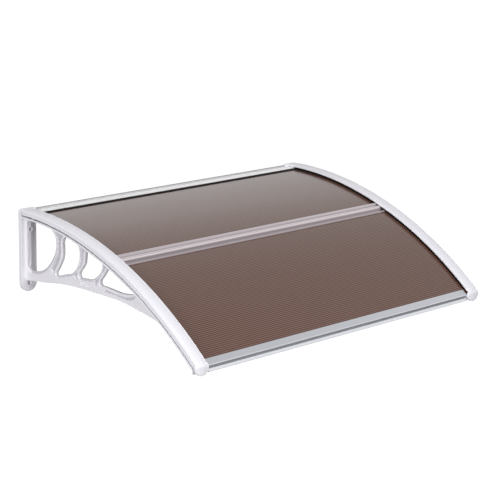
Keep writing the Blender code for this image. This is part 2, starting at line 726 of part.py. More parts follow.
def cover(material):
    """Shell over the sheets' edge, with a round nose and bosses for the clamp screws."""
    obj = add_object(loft(cover_rings(0, 0)), "cover_left", material)
    hollow = cover_rings(COVER_WALL, HOLLOW_PAST_LIP)
    first = [Vector(point) + Vector((0, 5 * OVERLAP, 0)) for point in hollow[0]]
    combine(obj, [loft([first, *hollow])], "DIFFERENCE")
    bosses = []
    holes = []
    for run in SCREW_RUNS:
        foot = radial_frame(SCREW_EDGE, run, FLANGE_TOP + CLEARANCE)
        height = COVER_RISE - COVER_WALL - FLANGE_TOP
        bosses.append(turned([(BOSS_RADIUS, 0), (BOSS_RADIUS, height)], foot, 12))
        mouth = radial_frame(SCREW_EDGE, run, FLANGE_TOP - 2 * OVERLAP)
        radius = SCREW_SHANK_RADIUS + CLEARANCE
        depth = SCREW_REACH - FLANGE_THICKNESS + 3 * OVERLAP
        holes.append(turned([(radius, 0), (radius, depth)], mouth, 12))
    combine(obj, bosses, "UNION")
    combine(obj, holes, "DIFFERENCE")
    return obj


def clamp_screw_mesh(material):
    """Pan-head screw along Z, its head's seat at the origin, with a cross recess."""
    radius = SCREW_HEAD_RADIUS
    head = [(radius * 0.6, -SCREW_HEAD_HEIGHT), (radius, -SCREW_HEAD_HEIGHT * 0.5), (radius, 0)]
    tip = SCREW_REACH - SCREW_TIP_LENGTH
    shank = [(SCREW_SHANK_RADIUS, 0), (SCREW_SHANK_RADIUS, tip), (SCREW_TIP_RADIUS, SCREW_REACH)]
    obj = add_object(turned(head + shank, Matrix.Identity(4), 12), "clamp_screw", material)
    long_side = radius * 0.5
    half = SCREW_RECESS_WIDTH / 2
    depth = (-SCREW_HEAD_HEIGHT - OVERLAP, -SCREW_HEAD_HEIGHT + SCREW_RECESS_DEPTH)
    slots = [block((-long_side, long_side), (-half, half), depth),
             block((-half, half), (-long_side, long_side), depth)]
    combine(obj, slots, "DIFFERENCE")
    mesh = obj.data
    bpy.data.objects.remove(obj)
    return mesh


def clamp_screws(material):
    """Five screws on each side, heads seated under the flange."""
    mesh = clamp_screw_mesh(material)
    for side in (-1, 1):
        for number, run in enumerate(SCREW_RUNS, start=1):
            frame = radial_frame(SCREW_EDGE, run, FLANGE_UNDERSIDE - CLEARANCE)
            label = "left" if side < 0 else "right"
            screw = bpy.data.objects.new(f"clamp_screw_{label}_{number}", mesh)
            screw.matrix_world = frame
            screw.location.x *= -side
            bpy.context.scene.collection.objects.link(screw)


def twin_wall(name, run_start, run_end, material):
    """Sheet of two skins joined by ribs, with its flutes open at both side edges."""
    levels = [SHEET_BOTTOM, SHEET_BOTTOM + SKIN, SHEET_TOP - SKIN, SHEET_TOP]
    flutes = round((run_end - run_start - RIB) / FLUTE_PITCH)
    pitch = (run_end - run_start - RIB) / flutes
    runs = []
    for i in range(flutes + 1):
        runs += [run_start + i * pitch, run_start + i * pitch + RIB]
    x = side_x(SHEET_EDGE)
    bm = bmesh.new()
    columns = []
    for run in runs:
        columns.append([bm.verts.new((x, *roof_point(run, level))) for level in levels])
    for i, (near, far) in enumerate(zip(columns, columns[1:])):
        solid_levels = (0, 1, 2) if i % 2 == 0 else (0, 2)
        for level in solid_levels:
            bm.faces.new((near[level], far[level], far[level + 1], near[level + 1]))
    extruded = bmesh.ops.extrude_face_region(bm, geom=bm.faces[:], use_keep_orig=True)
    moved = [item for item in extruded["geom"] if isinstance(item, bmesh.types.BMVert)]
    bmesh.ops.translate(bm, verts=moved, vec=(-2 * x, 0, 0))
    return add_object(bm, name, material)


def cut_back(obj, outline_y, rise_top):
    """Take the lower flange of a cross profile away over the brackets' flanges."""
    blocks = []
    for side in (-1, 1):
        inner = side * (WIDTH / 2 - FLANGE_WIDTH - OVERLAP)
        outer = side * WIDTH / 2
        y_near, y_far = outline_y
        top = [Vector((y, roof_height(y, rise_top))) for y in (y_near, (y_near + y_far) / 2, y_far)]
        drop = FLANGE_THICKNESS + 7 * OVERLAP
        bottom = [Vector((y_far, top[2].y - drop)), Vector((y_near, top[0].y - drop))]
        blocks.append(prism(top + bottom, min(inner, outer), max(inner, outer)))
    combine(obj, blocks, "DIFFERENCE")


def rear_rail(material):
    """Profile against the wall plates that grips the rear edge of the rear sheet."""
    back = -PLATE_THICKNESS - CLEARANCE
    front = -RAIL_FRONT
    low = SHEET_BOTTOM - CLEARANCE
    web = back - RAIL_WALL
    upper = roof_arc(roof_run(back, UNDER_LIP), roof_run(front, UNDER_LIP), UNDER_LIP)
    upper[-1] = Vector((front, roof_height(front, UNDER_LIP) - RAIL_LIP_DROOP))
    lower_front = front + RAIL_LOWER_SETBACK
    outline = upper + [Vector((front, roof_height(front, ON_SHEET))),
                       Vector((web, roof_height(web, ON_SHEET))), Vector((web, roof_height(web, low))),
                       Vector((lower_front, roof_height(front, low))),
                       Vector((lower_front, roof_height(front, low) - UNDER_FLANGE)),
                       Vector((back, roof_height(back, low) - UNDER_FLANGE))]
    edge = WIDTH / 2 - SHEET_EDGE
    obj = add_object(prism(outline, -edge, edge), "rear_rail", material)
    cut_back(obj, (OVERLAP, front - 4 * OVERLAP), FLANGE_TOP + CLEARANCE)
    return obj


def middle_bar(material):
    """Profile between the sheets: a ridged cap, a web and a lower flange."""
    low = SHEET_BOTTOM - CLEARANCE
    rear = BAR_RUN - BAR_TOP_HALF
    front = BAR_RUN + BAR_TOP_HALF
    web_rear = BAR_RUN - BAR_WEB / 2
    web_front = BAR_RUN + BAR_WEB / 2
    span = front - rear
    outline = []
    for along, share in BAR_CAP:
        outline.append(roof_point(rear + span * along, ON_SHEET + (UNDER_LIP - ON_SHEET) * share))
    outline += [roof_point(front, ON_SHEET), roof_point(web_front, ON_SHEET), roof_point(web_front, low),
                roof_point(BAR_RUN + BAR_BOTTOM_HALF, low),
                roof_point(BAR_RUN + BAR_BOTTOM_HALF, low - UNDER_FLANGE),
                roof_point(BAR_RUN - BAR_BOTTOM_HALF, low - UNDER_FLANGE),
                roof_point(BAR_RUN - BAR_BOTTOM_HALF, low), roof_point(web_rear, low),
                roof_point(web_rear, ON_SHEET), roof_point(rear, ON_SHEET)]
    edge = WIDTH / 2 - SHEET_EDGE
    obj = add_object(prism(outline, -edge, edge), "middle_bar", material)
    reach = BAR_BOTTOM_HALF + 3 * OVERLAP
    ends = (roof_point(BAR_RUN - reach, low).x, roof_point(BAR_RUN + reach, low).x)
    cut_back(obj, ends, FLANGE_TOP + CLEARANCE)
    return obj


def front_rail(material):
    """Profile over the front edge of the front sheet, with a grooved face and a lower lip."""
    low = SHEET_BOTTOM - CLEARANCE
    top = ON_SHEET + FRONT_RAIL_TOP
    face = roof_point(FRONT_SHEET_RUN, top).x - FRONT_RAIL_REACH
    inner = face + RAIL_WALL
    head = roof_arc(FRONT_RAIL_RUN, roof_run(face + FRONT_RAIL_ROUND, top), top)
    crest = head[-1].y
    bottom = crest - FRONT_RAIL_HEIGHT
    slope = math.degrees(roof_run(face, top) / ROOF_RADIUS - WALL_ANGLE)
    centre = (face + FRONT_RAIL_ROUND, crest - FRONT_RAIL_ROUND / math.cos(math.radians(slope)))
    nose = arc_points(centre, FRONT_RAIL_ROUND, 90 + slope, 180, 4)
    groove_top = crest - FRONT_GROOVE_DROP
    groove_bottom = groove_top - FRONT_GROOVE_HEIGHT
    recess = face + FRONT_GROOVE_DEPTH
    lip = face - FRONT_RAIL_LIP
    outline = head[:-1] + nose
    outline += [Vector(point) for point in (
        (face, groove_top), (recess, groove_top - FRONT_GROOVE_TOP_SLOPE), (recess, groove_bottom),
        (face, groove_bottom - FRONT_GROOVE_FOOT_SLOPE), (lip, bottom + FRONT_LIP_HEIGHT),
        (lip + FRONT_LIP_TURN, bottom), (inner, bottom))]
    leg_top = roof_height(inner, low)
    outline += [Vector((inner, leg_top - UNDER_FLANGE))]
    outline += roof_arc(roof_run(inner + OVERLAP, low), FRONT_RAIL_RUN, low - UNDER_FLANGE)[1:]
    outline += [roof_point(FRONT_RAIL_RUN, low), roof_point(FRONT_SHEET_RUN, low), Vector((inner, leg_top))]
    outline += [Vector((inner, roof_height(inner, ON_SHEET))), roof_point(FRONT_SHEET_RUN, ON_SHEET),
                roof_point(FRONT_RAIL_RUN, ON_SHEET)]
    edge = WIDTH / 2 - NOSE_CENTRE - NOSE_RADIUS - NOSE_GAP
    return add_object(prism(outline, -edge, edge), "front_rail", material)


def cross_seals(rubber, grey_rubber):
    """Black seal in front of the rear rail, and the strip between the brackets on the wall."""
    start = roof_run(-RAIL_FRONT - CLEARANCE, ON_SHEET)
    end = start + GASKET_LENGTH
    outline = roof_arc(start, end, ON_SHEET)
    top = ((1, GASKET_LIP), (0.8, GASKET_LIP * 1.6), (0.45, GASKET_HEIGHT * 0.85), (0.2, GASKET_HEIGHT))
    outline += [roof_point(start + GASKET_LENGTH * along, ON_SHEET + height) for along, height in top]
    outline.append(Vector((outline[0].x, outline[-1].y)))
    edge = WIDTH / 2 - FLANGE_WIDTH - CLEARANCE
    add_object(prism(outline, -edge, edge), "rear_gasket", rubber)
    edge = WIDTH / 2 - PLATE_WIDTH - CLEARANCE
    half = WALL_SEAL_HEIGHT / 2
    add_object(block((-edge, edge), (-PLATE_THICKNESS, 0), (-half, half)), "wall_seal", grey_rubber)


def side_seals(material):
    """Black strips between the sheets and the cover's inner lip, broken by the middle bar."""
    outer = side_x(COVER_WIDTH - SEAL_WIDTH)
    inner = side_x(COVER_WIDTH)
    rear_start = roof_run(-RAIL_FRONT - CLEARANCE, UNDER_LIP)
    ranges = {
        "rear": (rear_start, BAR_RUN - BAR_TOP_HALF - CLEARANCE),
        "front": (BAR_RUN + BAR_TOP_HALF + CLEARANCE, NOSE_RUN - NECK_LENGTH),
    }
    for label, (start, end) in ranges.items():
        outline = roof_arc(start, end, UNDER_LIP) + roof_arc(end, start, ON_SHEET)
        seal = add_object(prism(outline, outer, inner), f"side_seal_left_{label}", material)
        mirrored(seal, f"side_seal_right_{label}")


def clear_scene():
    """Take everything out of the start scene."""
    for obj in list(bpy.data.objects):
        bpy.data.objects.remove(obj)


clear_scene()
white_plastic = surface("white_plastic", (0.80, 0.80, 0.83), 0.35)
bronze_sheet = surface("bronze_sheet", (0.10, 0.065, 0.06), 0.15, alpha=0.6)
mill_aluminium = surface("mill_aluminium", (0.60, 0.60, 0.61), 0.35, metallic=1.0)
black_rubber = surface("black_rubber", (0.015, 0.015, 0.015), 0.6)
grey_rubber = surface("grey_rubber", (0.45, 0.45, 0.46), 0.6)
zinc_steel = surface("zinc_steel", (0.55, 0.55, 0.56), 0.3, metallic=1.0)

mirrored(bracket(white_plastic), "bracket_right")
mirrored(cover(white_plastic), "cover_right")
clamp_screws(zinc_steel)
twin_wall("sheet_rear", REAR_SHEET_RUN, BAR_RUN - BAR_WEB / 2 - CLEARANCE, bronze_sheet)
twin_wall("sheet_front", BAR_RUN + BAR_WEB / 2 + CLEARANCE, FRONT_SHEET_RUN, bronze_sheet)
rear_rail(mill_aluminium)
middle_bar(mill_aluminium)
front_rail(mill_aluminium)
cross_seals(black_rubber, grey_rubber)
side_seals(black_rubber)
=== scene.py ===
"""Door canopy of bronze twin-wall polycarbonate, dressed for its render.

Metres, in the CAD's frame: X along the wall, -Y away from it, Z up, with the origin on the wall
at the height of the roof's crown. A run is a length along the roof's arc from the wall.
"""

import math

import bmesh
import bpy
from mathutils import Matrix, Vector


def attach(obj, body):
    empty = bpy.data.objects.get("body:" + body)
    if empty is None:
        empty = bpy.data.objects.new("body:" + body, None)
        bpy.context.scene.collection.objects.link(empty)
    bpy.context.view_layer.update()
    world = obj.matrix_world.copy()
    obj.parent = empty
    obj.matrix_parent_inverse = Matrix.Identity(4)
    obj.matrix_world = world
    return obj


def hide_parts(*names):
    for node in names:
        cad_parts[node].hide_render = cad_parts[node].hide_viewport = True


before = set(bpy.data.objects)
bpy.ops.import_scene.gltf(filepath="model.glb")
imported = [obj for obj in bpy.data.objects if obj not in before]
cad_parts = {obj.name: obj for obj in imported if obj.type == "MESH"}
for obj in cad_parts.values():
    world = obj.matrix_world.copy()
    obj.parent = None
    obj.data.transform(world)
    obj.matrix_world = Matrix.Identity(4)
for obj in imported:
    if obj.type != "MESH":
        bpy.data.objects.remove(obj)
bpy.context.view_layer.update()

# WALL BRACKETS
# One-piece injection mouldings of white ABS: wall plate, leg, openwork arm and top flange.
# A satin steel mould leaves a soft sheen and a very fine grain. Wall screws hold the plates.
MM = 0.001
QUARTER_TURN = math.pi / 2
HALF_WIDTH = 500 * MM
ROOF_RADIUS = 1121.5 * MM
CROWN_SETBACK = 94.4 * MM
WALL_ANGLE = math.asin(CROWN_SETBACK / ROOF_RADIUS)
# How far joins and cuts run past each other's faces
PAST = 1 * MM
WELD = 0.01 * MM
SPUN_WELD = 0.001 * MM
SHARP_EDGE = math.radians(30)
SHADING_EDGE = math.radians(34)
ARC_PROFILE = 0.5
EDGE_STEPS = 2
SPIN_STEPS = 32
ARC_STEPS = 60
# A colour Mix node's sockets
MIX_A, MIX_B, MIX_RESULT = 6, 7, 2
LINE_STEP = 4 * MM
SHORTEST_SPAN = 1e-6
FLANGE_TOP = -5.0 * MM
FLANGE_UNDERSIDE = -10.0 * MM
FLANGE_WIDTH = 36 * MM
FLANGE_ROUND = 0.7 * MM
TAB_FRONT = -752.3 * MM
TAB_BACK = -748.3 * MM
TAB_BOTTOM = -232 * MM
PLATE_WIDTH = 49 * MM
PLATE_MIDDLE = PLATE_WIDTH / 2
PLATE_THICKNESS = 12 * MM
PLATE_TOP = 9.5 * MM
PLATE_WALL = 3 * MM
PLATE_CORE = 8 * MM
PLATE_ROUND = 4 * MM
PLATE_ROUND_STEPS = 4
PLATE_CORNER = 6 * MM
SMALLEST_CORNER = 0.5 * MM
CORNER_STEPS = 6
FOOT_FLAT = 0.02 * MM
FOOT_STEPS = 28
RIB_COUNT = 6
RIB_PITCH = 36 * MM
RIB_HALF = 1.25 * MM
PAD_RADIUS = 12 * MM
PAD_HEIGHT = 12 * MM
UPPER_HOLE = -46 * MM
LOWER_HOLE = -197.5 * MM
# Holes for the wall screws: height, depth of the mouth and radius of the counterbore
WALL_HOLES = ((UPPER_HOLE, 21.5 * MM, 5.5 * MM), (LOWER_HOLE, PLATE_THICKNESS, 6.5 * MM))
WALL_HOLE_RADIUS = 2.75 * MM
SEAT_DEPTH = 4 * MM
# Boss round the upper hole: radius and height in millimetres
PLATE_BOSS = ((0, -3), (8, -3), (8, 12), (7.7, 12.7), (7, 13), (0, 13))
PLATE_BOSS_BASE = -8.5 * MM
SCREW_EDGE = 8.6 * MM
SCREW_RUNS = (62 * MM, 236 * MM, 372 * MM, 560 * MM, 742 * MM)
SCREW_HOLE_RADIUS = 2.3 * MM
SCREW_HOLE_LENGTH = 9 * MM
SCREW_HOLE_STEPS = 20
LEG_FRONT = -20 * MM
LEG_FILLET = 8 * MM
FILLET_STEPS = 8
CHORD_ROOT = -187 * MM
FILLET_FOOT = 4 * MM
ARM_EDGE = 14.6 * MM
ARM_THICKNESS = 12 * MM
ARM_UNDER_TOP = 0.4 * MM
RIM_ROUND = 3.6 * MM
# Sunk band beside the openings, on the struts' wall sides and over their feet: its widths, its
# section as a depth in millimetres with a share of the width, and the way its side faces
BAND_WIDTHS = (7.6 * MM, 6 * MM, 5 * MM, 0)
BAND_SECTION = ((0, 1), (0.27, 0.97), (1.05, 0.94), (2.0, 0.9), (2.7, 0.4), (3.6, 0))
BAND_FACING = Vector((-0.8, -0.6))
# The band has its full width where the outline turns up to 37 degrees away from that
BAND_SPREAD = 1.25
# Pockets' depths in millimetres, and their brims: shares of the depth with widths in millimetres
POCKET_DEPTH = 4.4
POCKET_FRONT_DEPTH = 2.2
POCKET_BRIM = ((0, 1.1), (0.1, 0.6), (0.3, 0.4), (1, 0))
# Faces with painted pocket shade: how deep they lie at least, how flat they are and where they start
SUNK_LEAST = 0.8 * MM
SUNK_FACING = 0.8
SUNK_START = 26 * MM
# First opening's side along the leg: Y from the leg's front, with Z over the floor and under the
# ceiling, in millimetres, and shares of the height between them
LEG_SIDE_LOW = ((-6, -1), (0, 9))
LEG_SIDE_SHARES = (0.25, 0.5, 0.75)
LEG_SIDE_HIGH = ((0, -14), (-4, -5))
# Runs from the openings' corners to where their upper sides start and end, with those sides' step
# and depth under the flange
LEG_CORNER = 15 * MM
FRONT_CORNER = 12 * MM
WALL_CORNER = 14 * MM
TIP_CORNER = 10 * MM
CEILING_STEP = 36 * MM
CEILING_DEPTH = 1 * MM
# The arm's lines in millimetres of run and of depth under the flange, from top to foot
WALL_EDGES = (
    ((135, 10), (149, 23), (156, 43), (153, 68), (136, 95)),
    ((256, 11), (266, 26), (269, 41), (268, 56), (263, 72), (254, 86)),
    ((364, 6), (369, 14), (371, 27), (368, 41), (362, 52), (355, 60)),
)
FRONT_EDGES = (
    ((198, 11), (189, 27), (191, 47), (192, 62), (189, 77), (182, 91), (174, 104), (167, 114), (161, 125)),
    ((304, 7), (296, 20), (296, 35), (296, 50), (291, 61), (284, 72), (277, 83), (278, 92)),
    ((408, 5), (397, 12), (393, 23), (388, 34), (383, 46), (376, 58), (375, 68)),
)
# Widths of each strut's rims, the wall side's first, and the foot of the pocket between them
STRUT_RIMS = ((11, 7), (9.6, 5.6), (8.2, 5.6))
STRUT_FEET = (((138, 117), (153, 131)), ((255, 99), (267, 108)), ((349, 77), (361, 88)))
POCKET_TOP_RIM = 7 * MM
POCKET_TOP_STEP = 2 * MM
# How far above each pocket's foot its front side leaves the strut's front edge, in millimetres
POCKET_HEELS = (4, 24, 24)
CHORD_TOP = (
    ((114, 117), (92, 131), (69, 139), (43, 144)),
    ((242, 97), (226, 106), (209, 112), (187, 121), (171, 127)),
    ((349, 67), (340, 74), (320, 83), (299, 90), (286, 94)),
    ((524, 6), (519, 13), (511, 21), (493, 32), (475, 42), (455, 50), (425, 59), (394, 68), (381, 72)),
)
CHORD_BOTTOM = ((42, 167), (101, 160), (159, 148), (216, 135), (272, 122), (326, 109), (379, 94),
                (431, 77), (481, 59), (532, 44), (581, 27), (610, 17), (640, 8), (664, -0.5))
CHORD_POCKETS = (
    ((291, 101.5), (312, 94.5), (332, 88), (343, 91.5), (336, 97.5), (312, 104), (293, 109)),
    ((400, 74), (425, 66.5), (455, 57.5), (477, 49), (497, 39.5), (513, 29), (526, 16), (521, 29),
     (502, 43.5), (480, 52.9), (455, 61), (428, 70), (401, 79)),
)
# Line over the chord's first pocket, which keeps the ribs' colour without painted shade
PLAIN_POCKET = ((286, 100.2), (347, 80))
# Clouds of about 70 mm, as the melt leaves them: per metre along each axis
FLOW_MARKS = (14.0, 14.0, 14.0)


def roof_slope(run):
    """Angle by which the roof has turned down from its crown."""
    return run / ROOF_RADIUS - WALL_ANGLE


def roof_point(run, rise):
    """Y and Z of a place over the roof's arc."""
    angle = roof_slope(run)
    radius = ROOF_RADIUS + rise
    return Vector((-CROWN_SETBACK - radius * math.sin(angle), radius * math.cos(angle) - ROOF_RADIUS))


def roof_run(y, rise):
    """Run at which a place of the given rise has the given Y."""
    return ROOF_RADIUS * (math.asin(-(y + CROWN_SETBACK) / (ROOF_RADIUS + rise)) + WALL_ANGLE)


def roof_height(y, rise):
    """Z over the roof's arc at a distance from the wall."""
    return roof_point(roof_run(y, rise), rise).y


def roof_arc(start, end, rise, count=ARC_STEPS):
    """Places along the roof between two runs."""
    return [roof_point(start + (end - start) * i / count, rise) for i in range(count + 1)]


def in_metres(points):
    """Run and depth pairs, given in millimetres, as metres."""
    return [Vector(point) * MM for point in points]


def on_arm(points):
    """Y and Z of places given by their run and their depth under the flange."""
    return [roof_point(run, FLANGE_UNDERSIDE - depth) for run, depth in points]


def arm_place(y, z):
    """Run, and depth under the flange, of a place on the arm."""
    ahead, above = -(y + CROWN_SETBACK), z + ROOF_RADIUS
    run = ROOF_RADIUS * (math.atan2(ahead, above) + WALL_ANGLE)
    return run, FLANGE_UNDERSIDE + ROOF_RADIUS - math.hypot(ahead, above)


def curve_span(before, start, end, after, steps):
    """Centripetal curve from start up to, but not including, end."""
    knots = [0.0]
    for first, second in ((before, start), (start, end), (end, after)):
        knots.append(knots[-1] + math.sqrt(max((second - first).length, SHORTEST_SPAN)))
    t0, t1, t2, t3 = knots
    span = []
    for i in range(steps):
        t = t1 + (t2 - t1) * i / steps
        a1 = before.lerp(start, (t - t0) / (t1 - t0))
        a2 = start.lerp(end, (t - t1) / (t2 - t1))
        a3 = end.lerp(after, (t - t2) / (t3 - t2))
        b1 = a1.lerp(a2, (t - t0) / (t2 - t0))
        b2 = a2.lerp(a3, (t - t1) / (t3 - t1))
        span.append(b1.lerp(b2, (t - t1) / (t2 - t1)))
    return span


def smooth_line(points, closed=False, step=LINE_STEP):
    """Smooth line through the points, with a vertex about every step."""
    points = [Vector(point) for point in points]
    padded = [points[0] * 2 - points[1], *points, points[-1] * 2 - points[-2]]
    if closed:
        padded = [points[-1], *points, points[0], points[1]]
    line = []
    for before, start, end, after in zip(padded, padded[1:], padded[2:], padded[3:]):
        line += curve_span(before, start, end, after, max(1, round((end - start).length / step)))
    if not closed:
        line.append(points[-1])
    return line


def shifted_line(points, distance):
    """The line moved sideways, to the right of its direction where the second axis points down."""
    moved = []
    for i, point in enumerate(points):
        direction = (points[min(i + 1, len(points) - 1)] - points[max(i - 1, 0)]).normalized()
        moved.append(point + Vector((direction.y, -direction.x)) * distance)
    return moved


def opening_outline(index):
    """Outline of one of the arm's four openings, in Y and Z."""
    points = []
    if index == 0:
        ceiling = roof_height(LEG_FRONT, FLANGE_UNDERSIDE)
        floor = on_arm(in_metres(CHORD_TOP[0]))[-1].y
        start_run = roof_run(LEG_FRONT, FLANGE_UNDERSIDE) + LEG_CORNER
        points += [Vector((LEG_FRONT + y * MM, floor + z * MM)) for y, z in LEG_SIDE_LOW]
        points += [Vector((LEG_FRONT, floor + (ceiling - floor) * share)) for share in LEG_SIDE_SHARES]
        points += [Vector((LEG_FRONT + y * MM, ceiling + z * MM)) for y, z in LEG_SIDE_HIGH]
    else:
        points += on_arm(in_metres(reversed(FRONT_EDGES[index - 1])))
        start_run = FRONT_EDGES[index - 1][0][0] * MM + FRONT_CORNER
    if index < len(WALL_EDGES):
        end_run = WALL_EDGES[index][0][0] * MM - WALL_CORNER
        descent = on_arm(in_metres(WALL_EDGES[index]))
    else:
        end_run = CHORD_TOP[index][0][0] * MM - TIP_CORNER
        descent = []
    count = max(1, round((end_run - start_run) / CEILING_STEP))
    runs = [start_run + (end_run - start_run) * i / count for i in range(count + 1)]
    points += on_arm([(run, CEILING_DEPTH) for run in runs])
    return smooth_line(points + descent + on_arm(in_metres(CHORD_TOP[index])), closed=True)


def strut_pocket(index):
    """Outline of the sunk pocket between a strut's rims, in Y and Z."""
    wall_rim, front_rim = (width * MM for width in STRUT_RIMS[index])
    wall_line = shifted_line(smooth_line(in_metres(WALL_EDGES[index])), wall_rim)
    front_line = shifted_line(smooth_line(in_metres(FRONT_EDGES[index])), -front_rim)
    sides = []
    for line in (wall_line, front_line):
        line = [place for place in line if place.y > POCKET_TOP_RIM + POCKET_TOP_STEP]
        sides.append([Vector((line[0].x, POCKET_TOP_RIM)), *line])
    while sides[1][-1].y > (STRUT_FEET[index][1][1] - POCKET_HEELS[index]) * MM:
        sides[1].pop()
    return on_arm(sides[0] + in_metres(STRUT_FEET[index]) + sides[1][::-1])


def outline_edges(bm, outline, x):
    """Closed loop of edges at one X, through Y and Z pairs."""
    verts = [bm.verts.new((x, y, z)) for y, z in outline]
    return [bm.edges.new(pair) for pair in zip(verts, verts[1:] + verts[:1])]


def rounded(bm, geom, offset, segments, affect="EDGES", clamp=True):
    """Round a mesh's edges or corners off to arcs."""
    bmesh.ops.bevel(bm, geom=geom, offset=offset, segments=segments, profile=ARC_PROFILE, affect=affect,
                    material=-1, clamp_overlap=clamp)


def pushed_out(bm, offset):
    """Make a closed solid of a mesh's one face and its copy at an offset."""
    grown = bmesh.ops.extrude_face_region(bm, geom=bm.faces[:], use_keep_orig=True)["geom"]
    moved = [item for item in grown if isinstance(item, bmesh.types.BMVert)]
    bmesh.ops.translate(bm, verts=moved, vec=offset)
    bmesh.ops.recalc_face_normals(bm, faces=bm.faces)


def extruded(outline, x_start, x_end, rounding=0.0):
    """Bar with a Y-Z outline and a length along X, its long sharp edges rounded."""
    bm = bmesh.new()
    bm.faces.new([bm.verts.new((x_start, y, z)) for y, z in outline])
    pushed_out(bm, (x_end - x_start, 0, 0))
    if rounding:
        sharp = [edge for edge in bm.edges if edge.calc_face_angle() > SHARP_EDGE]
        rounded(bm, sharp, rounding, EDGE_STEPS)
    return bm


def rod(radius, length):
    """Profile of a straight round solid, to be spun."""
    return [(0, 0), (radius, 0), (radius, length), (0, length)]


def spun(profile, matrix, segments=SPIN_STEPS):
    """Turned solid: a profile of radius and height pairs spun about the matrix's Z axis."""
    bm = bmesh.new()
    verts = [bm.verts.new((radius, 0, height)) for radius, height in profile]
    edges = [bm.edges.new(pair) for pair in zip(verts, verts[1:])]
    bmesh.ops.spin(bm, geom=verts + edges, cent=(0, 0, 0), axis=(0, 0, 1), angle=math.tau, steps=segments,
                   use_merge=True)
    bmesh.ops.remove_doubles(bm, verts=bm.verts, dist=SPUN_WELD)
    bmesh.ops.holes_fill(bm, edges=[edge for edge in bm.edges if edge.is_boundary])
    bmesh.ops.recalc_face_normals(bm, faces=bm.faces)
    bmesh.ops.transform(bm, matrix=matrix, verts=bm.verts)
    return bm


def outward_frame(across, run, rise):
    """Frame on the left side of the roof whose Z axis points straight out of it."""
    y, z = roof_point(run, rise)
    return Matrix.Translation((across - HALF_WIDTH, y, z)) @ Matrix.Rotation(roof_slope(run), 4, "X")


def forward_frame(across, z, y):
    """Frame whose Z axis points away from the wall."""
    return Matrix.Translation((across - HALF_WIDTH, y, z)) @ Matrix.Rotation(QUARTER_TURN, 4, "X")


def loose_object(bm, name):
    """Object of a mesh that may still be joined, cut or mirrored."""
    mesh = bpy.data.meshes.new(name)
    bm.to_mesh(mesh)
    bm.free()
    piece = bpy.data.objects.new(name, mesh)
    bpy.context.scene.collection.objects.link(piece)
    return piece


def join_or_cut(piece, solids, operation):
    """Join solids to a piece, or cut them out of it."""
    for i, bm in enumerate(solids):
        tool = loose_object(bm, f"tool_{i}")
        modifier = piece.modifiers.new("solid", "BOOLEAN")
        modifier.operation = operation
        modifier.solver = "EXACT"
        modifier.object = tool
        bpy.context.view_layer.update()
        shaped = piece.evaluated_get(bpy.context.evaluated_depsgraph_get())
        mesh = bpy.data.meshes.new_from_object(shaped)
        piece.modifiers.clear()
        piece.data = mesh
        bpy.data.objects.remove(tool)


def dressed(piece, material, slot, *nodes):
    """Weld and shade a piece, and let it stand for its CAD nodes on the part's body."""
    bm = bmesh.new()
    bm.from_mesh(piece.data)
    bmesh.ops.remove_doubles(bm, verts=bm.verts, dist=WELD)
    bmesh.ops.dissolve_degenerate(bm, edges=bm.edges, dist=WELD)
    bm.to_mesh(piece.data)
    bm.free()
    piece.data.materials.clear()
    piece.data.materials.append(material)
    piece.data.shade_smooth()
    piece.data.set_sharp_from_angle(angle=SHADING_EDGE)
    weight = piece.modifiers.new("flat faces stay flat", "WEIGHTED_NORMAL")
    weight.keep_sharp = True
    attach(piece, "root")
    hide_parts(*nodes)


def mirrored(piece, name):
    """Copy of a left piece for the right side."""
    bm = bmesh.new()
    bm.from_mesh(piece.data)
    bmesh.ops.transform(bm, matrix=Matrix.Scale(-1, 4, (1, 0, 0)), verts=bm.verts)
    bmesh.ops.reverse_faces(bm, faces=bm.faces)
    return loose_object(bm, name)


def linear_colour(code):
    """Linear RGBA of an sRGB hex colour, by that standard's curve."""
    values = [int(code[i:i + 2], 16) / 255 for i in (1, 3, 5)]
    values = [v / 12.92 if v <= 0.04045 else ((v + 0.055) / 1.055) ** 2.4 for v in values]
    return (*values, 1.0)


def add_node(tree, kind, inputs, **settings):
    """Shader node with its settings; an input is a value or the output socket that feeds it."""
    node = tree.nodes.new(f"ShaderNode{kind}")
    for name, value in settings.items():
        setattr(node, name, value)
    for name, value in inputs.items():
        if isinstance(value, bpy.types.NodeSocket):
            tree.links.new(value, node.inputs[name])
        else:
            node.inputs[name].default_value = value
    return node


def new_material(name, **values):
    """Material with the given values on its Principled shader's own sockets."""
    material = bpy.data.materials.new(name)
    material.use_nodes = True
    tree = material.node_tree
    shader = tree.nodes["Principled BSDF"]
    for label, value in values.items():
        shader.inputs[label.replace("_", " ")].default_value = value
    return material, tree, shader


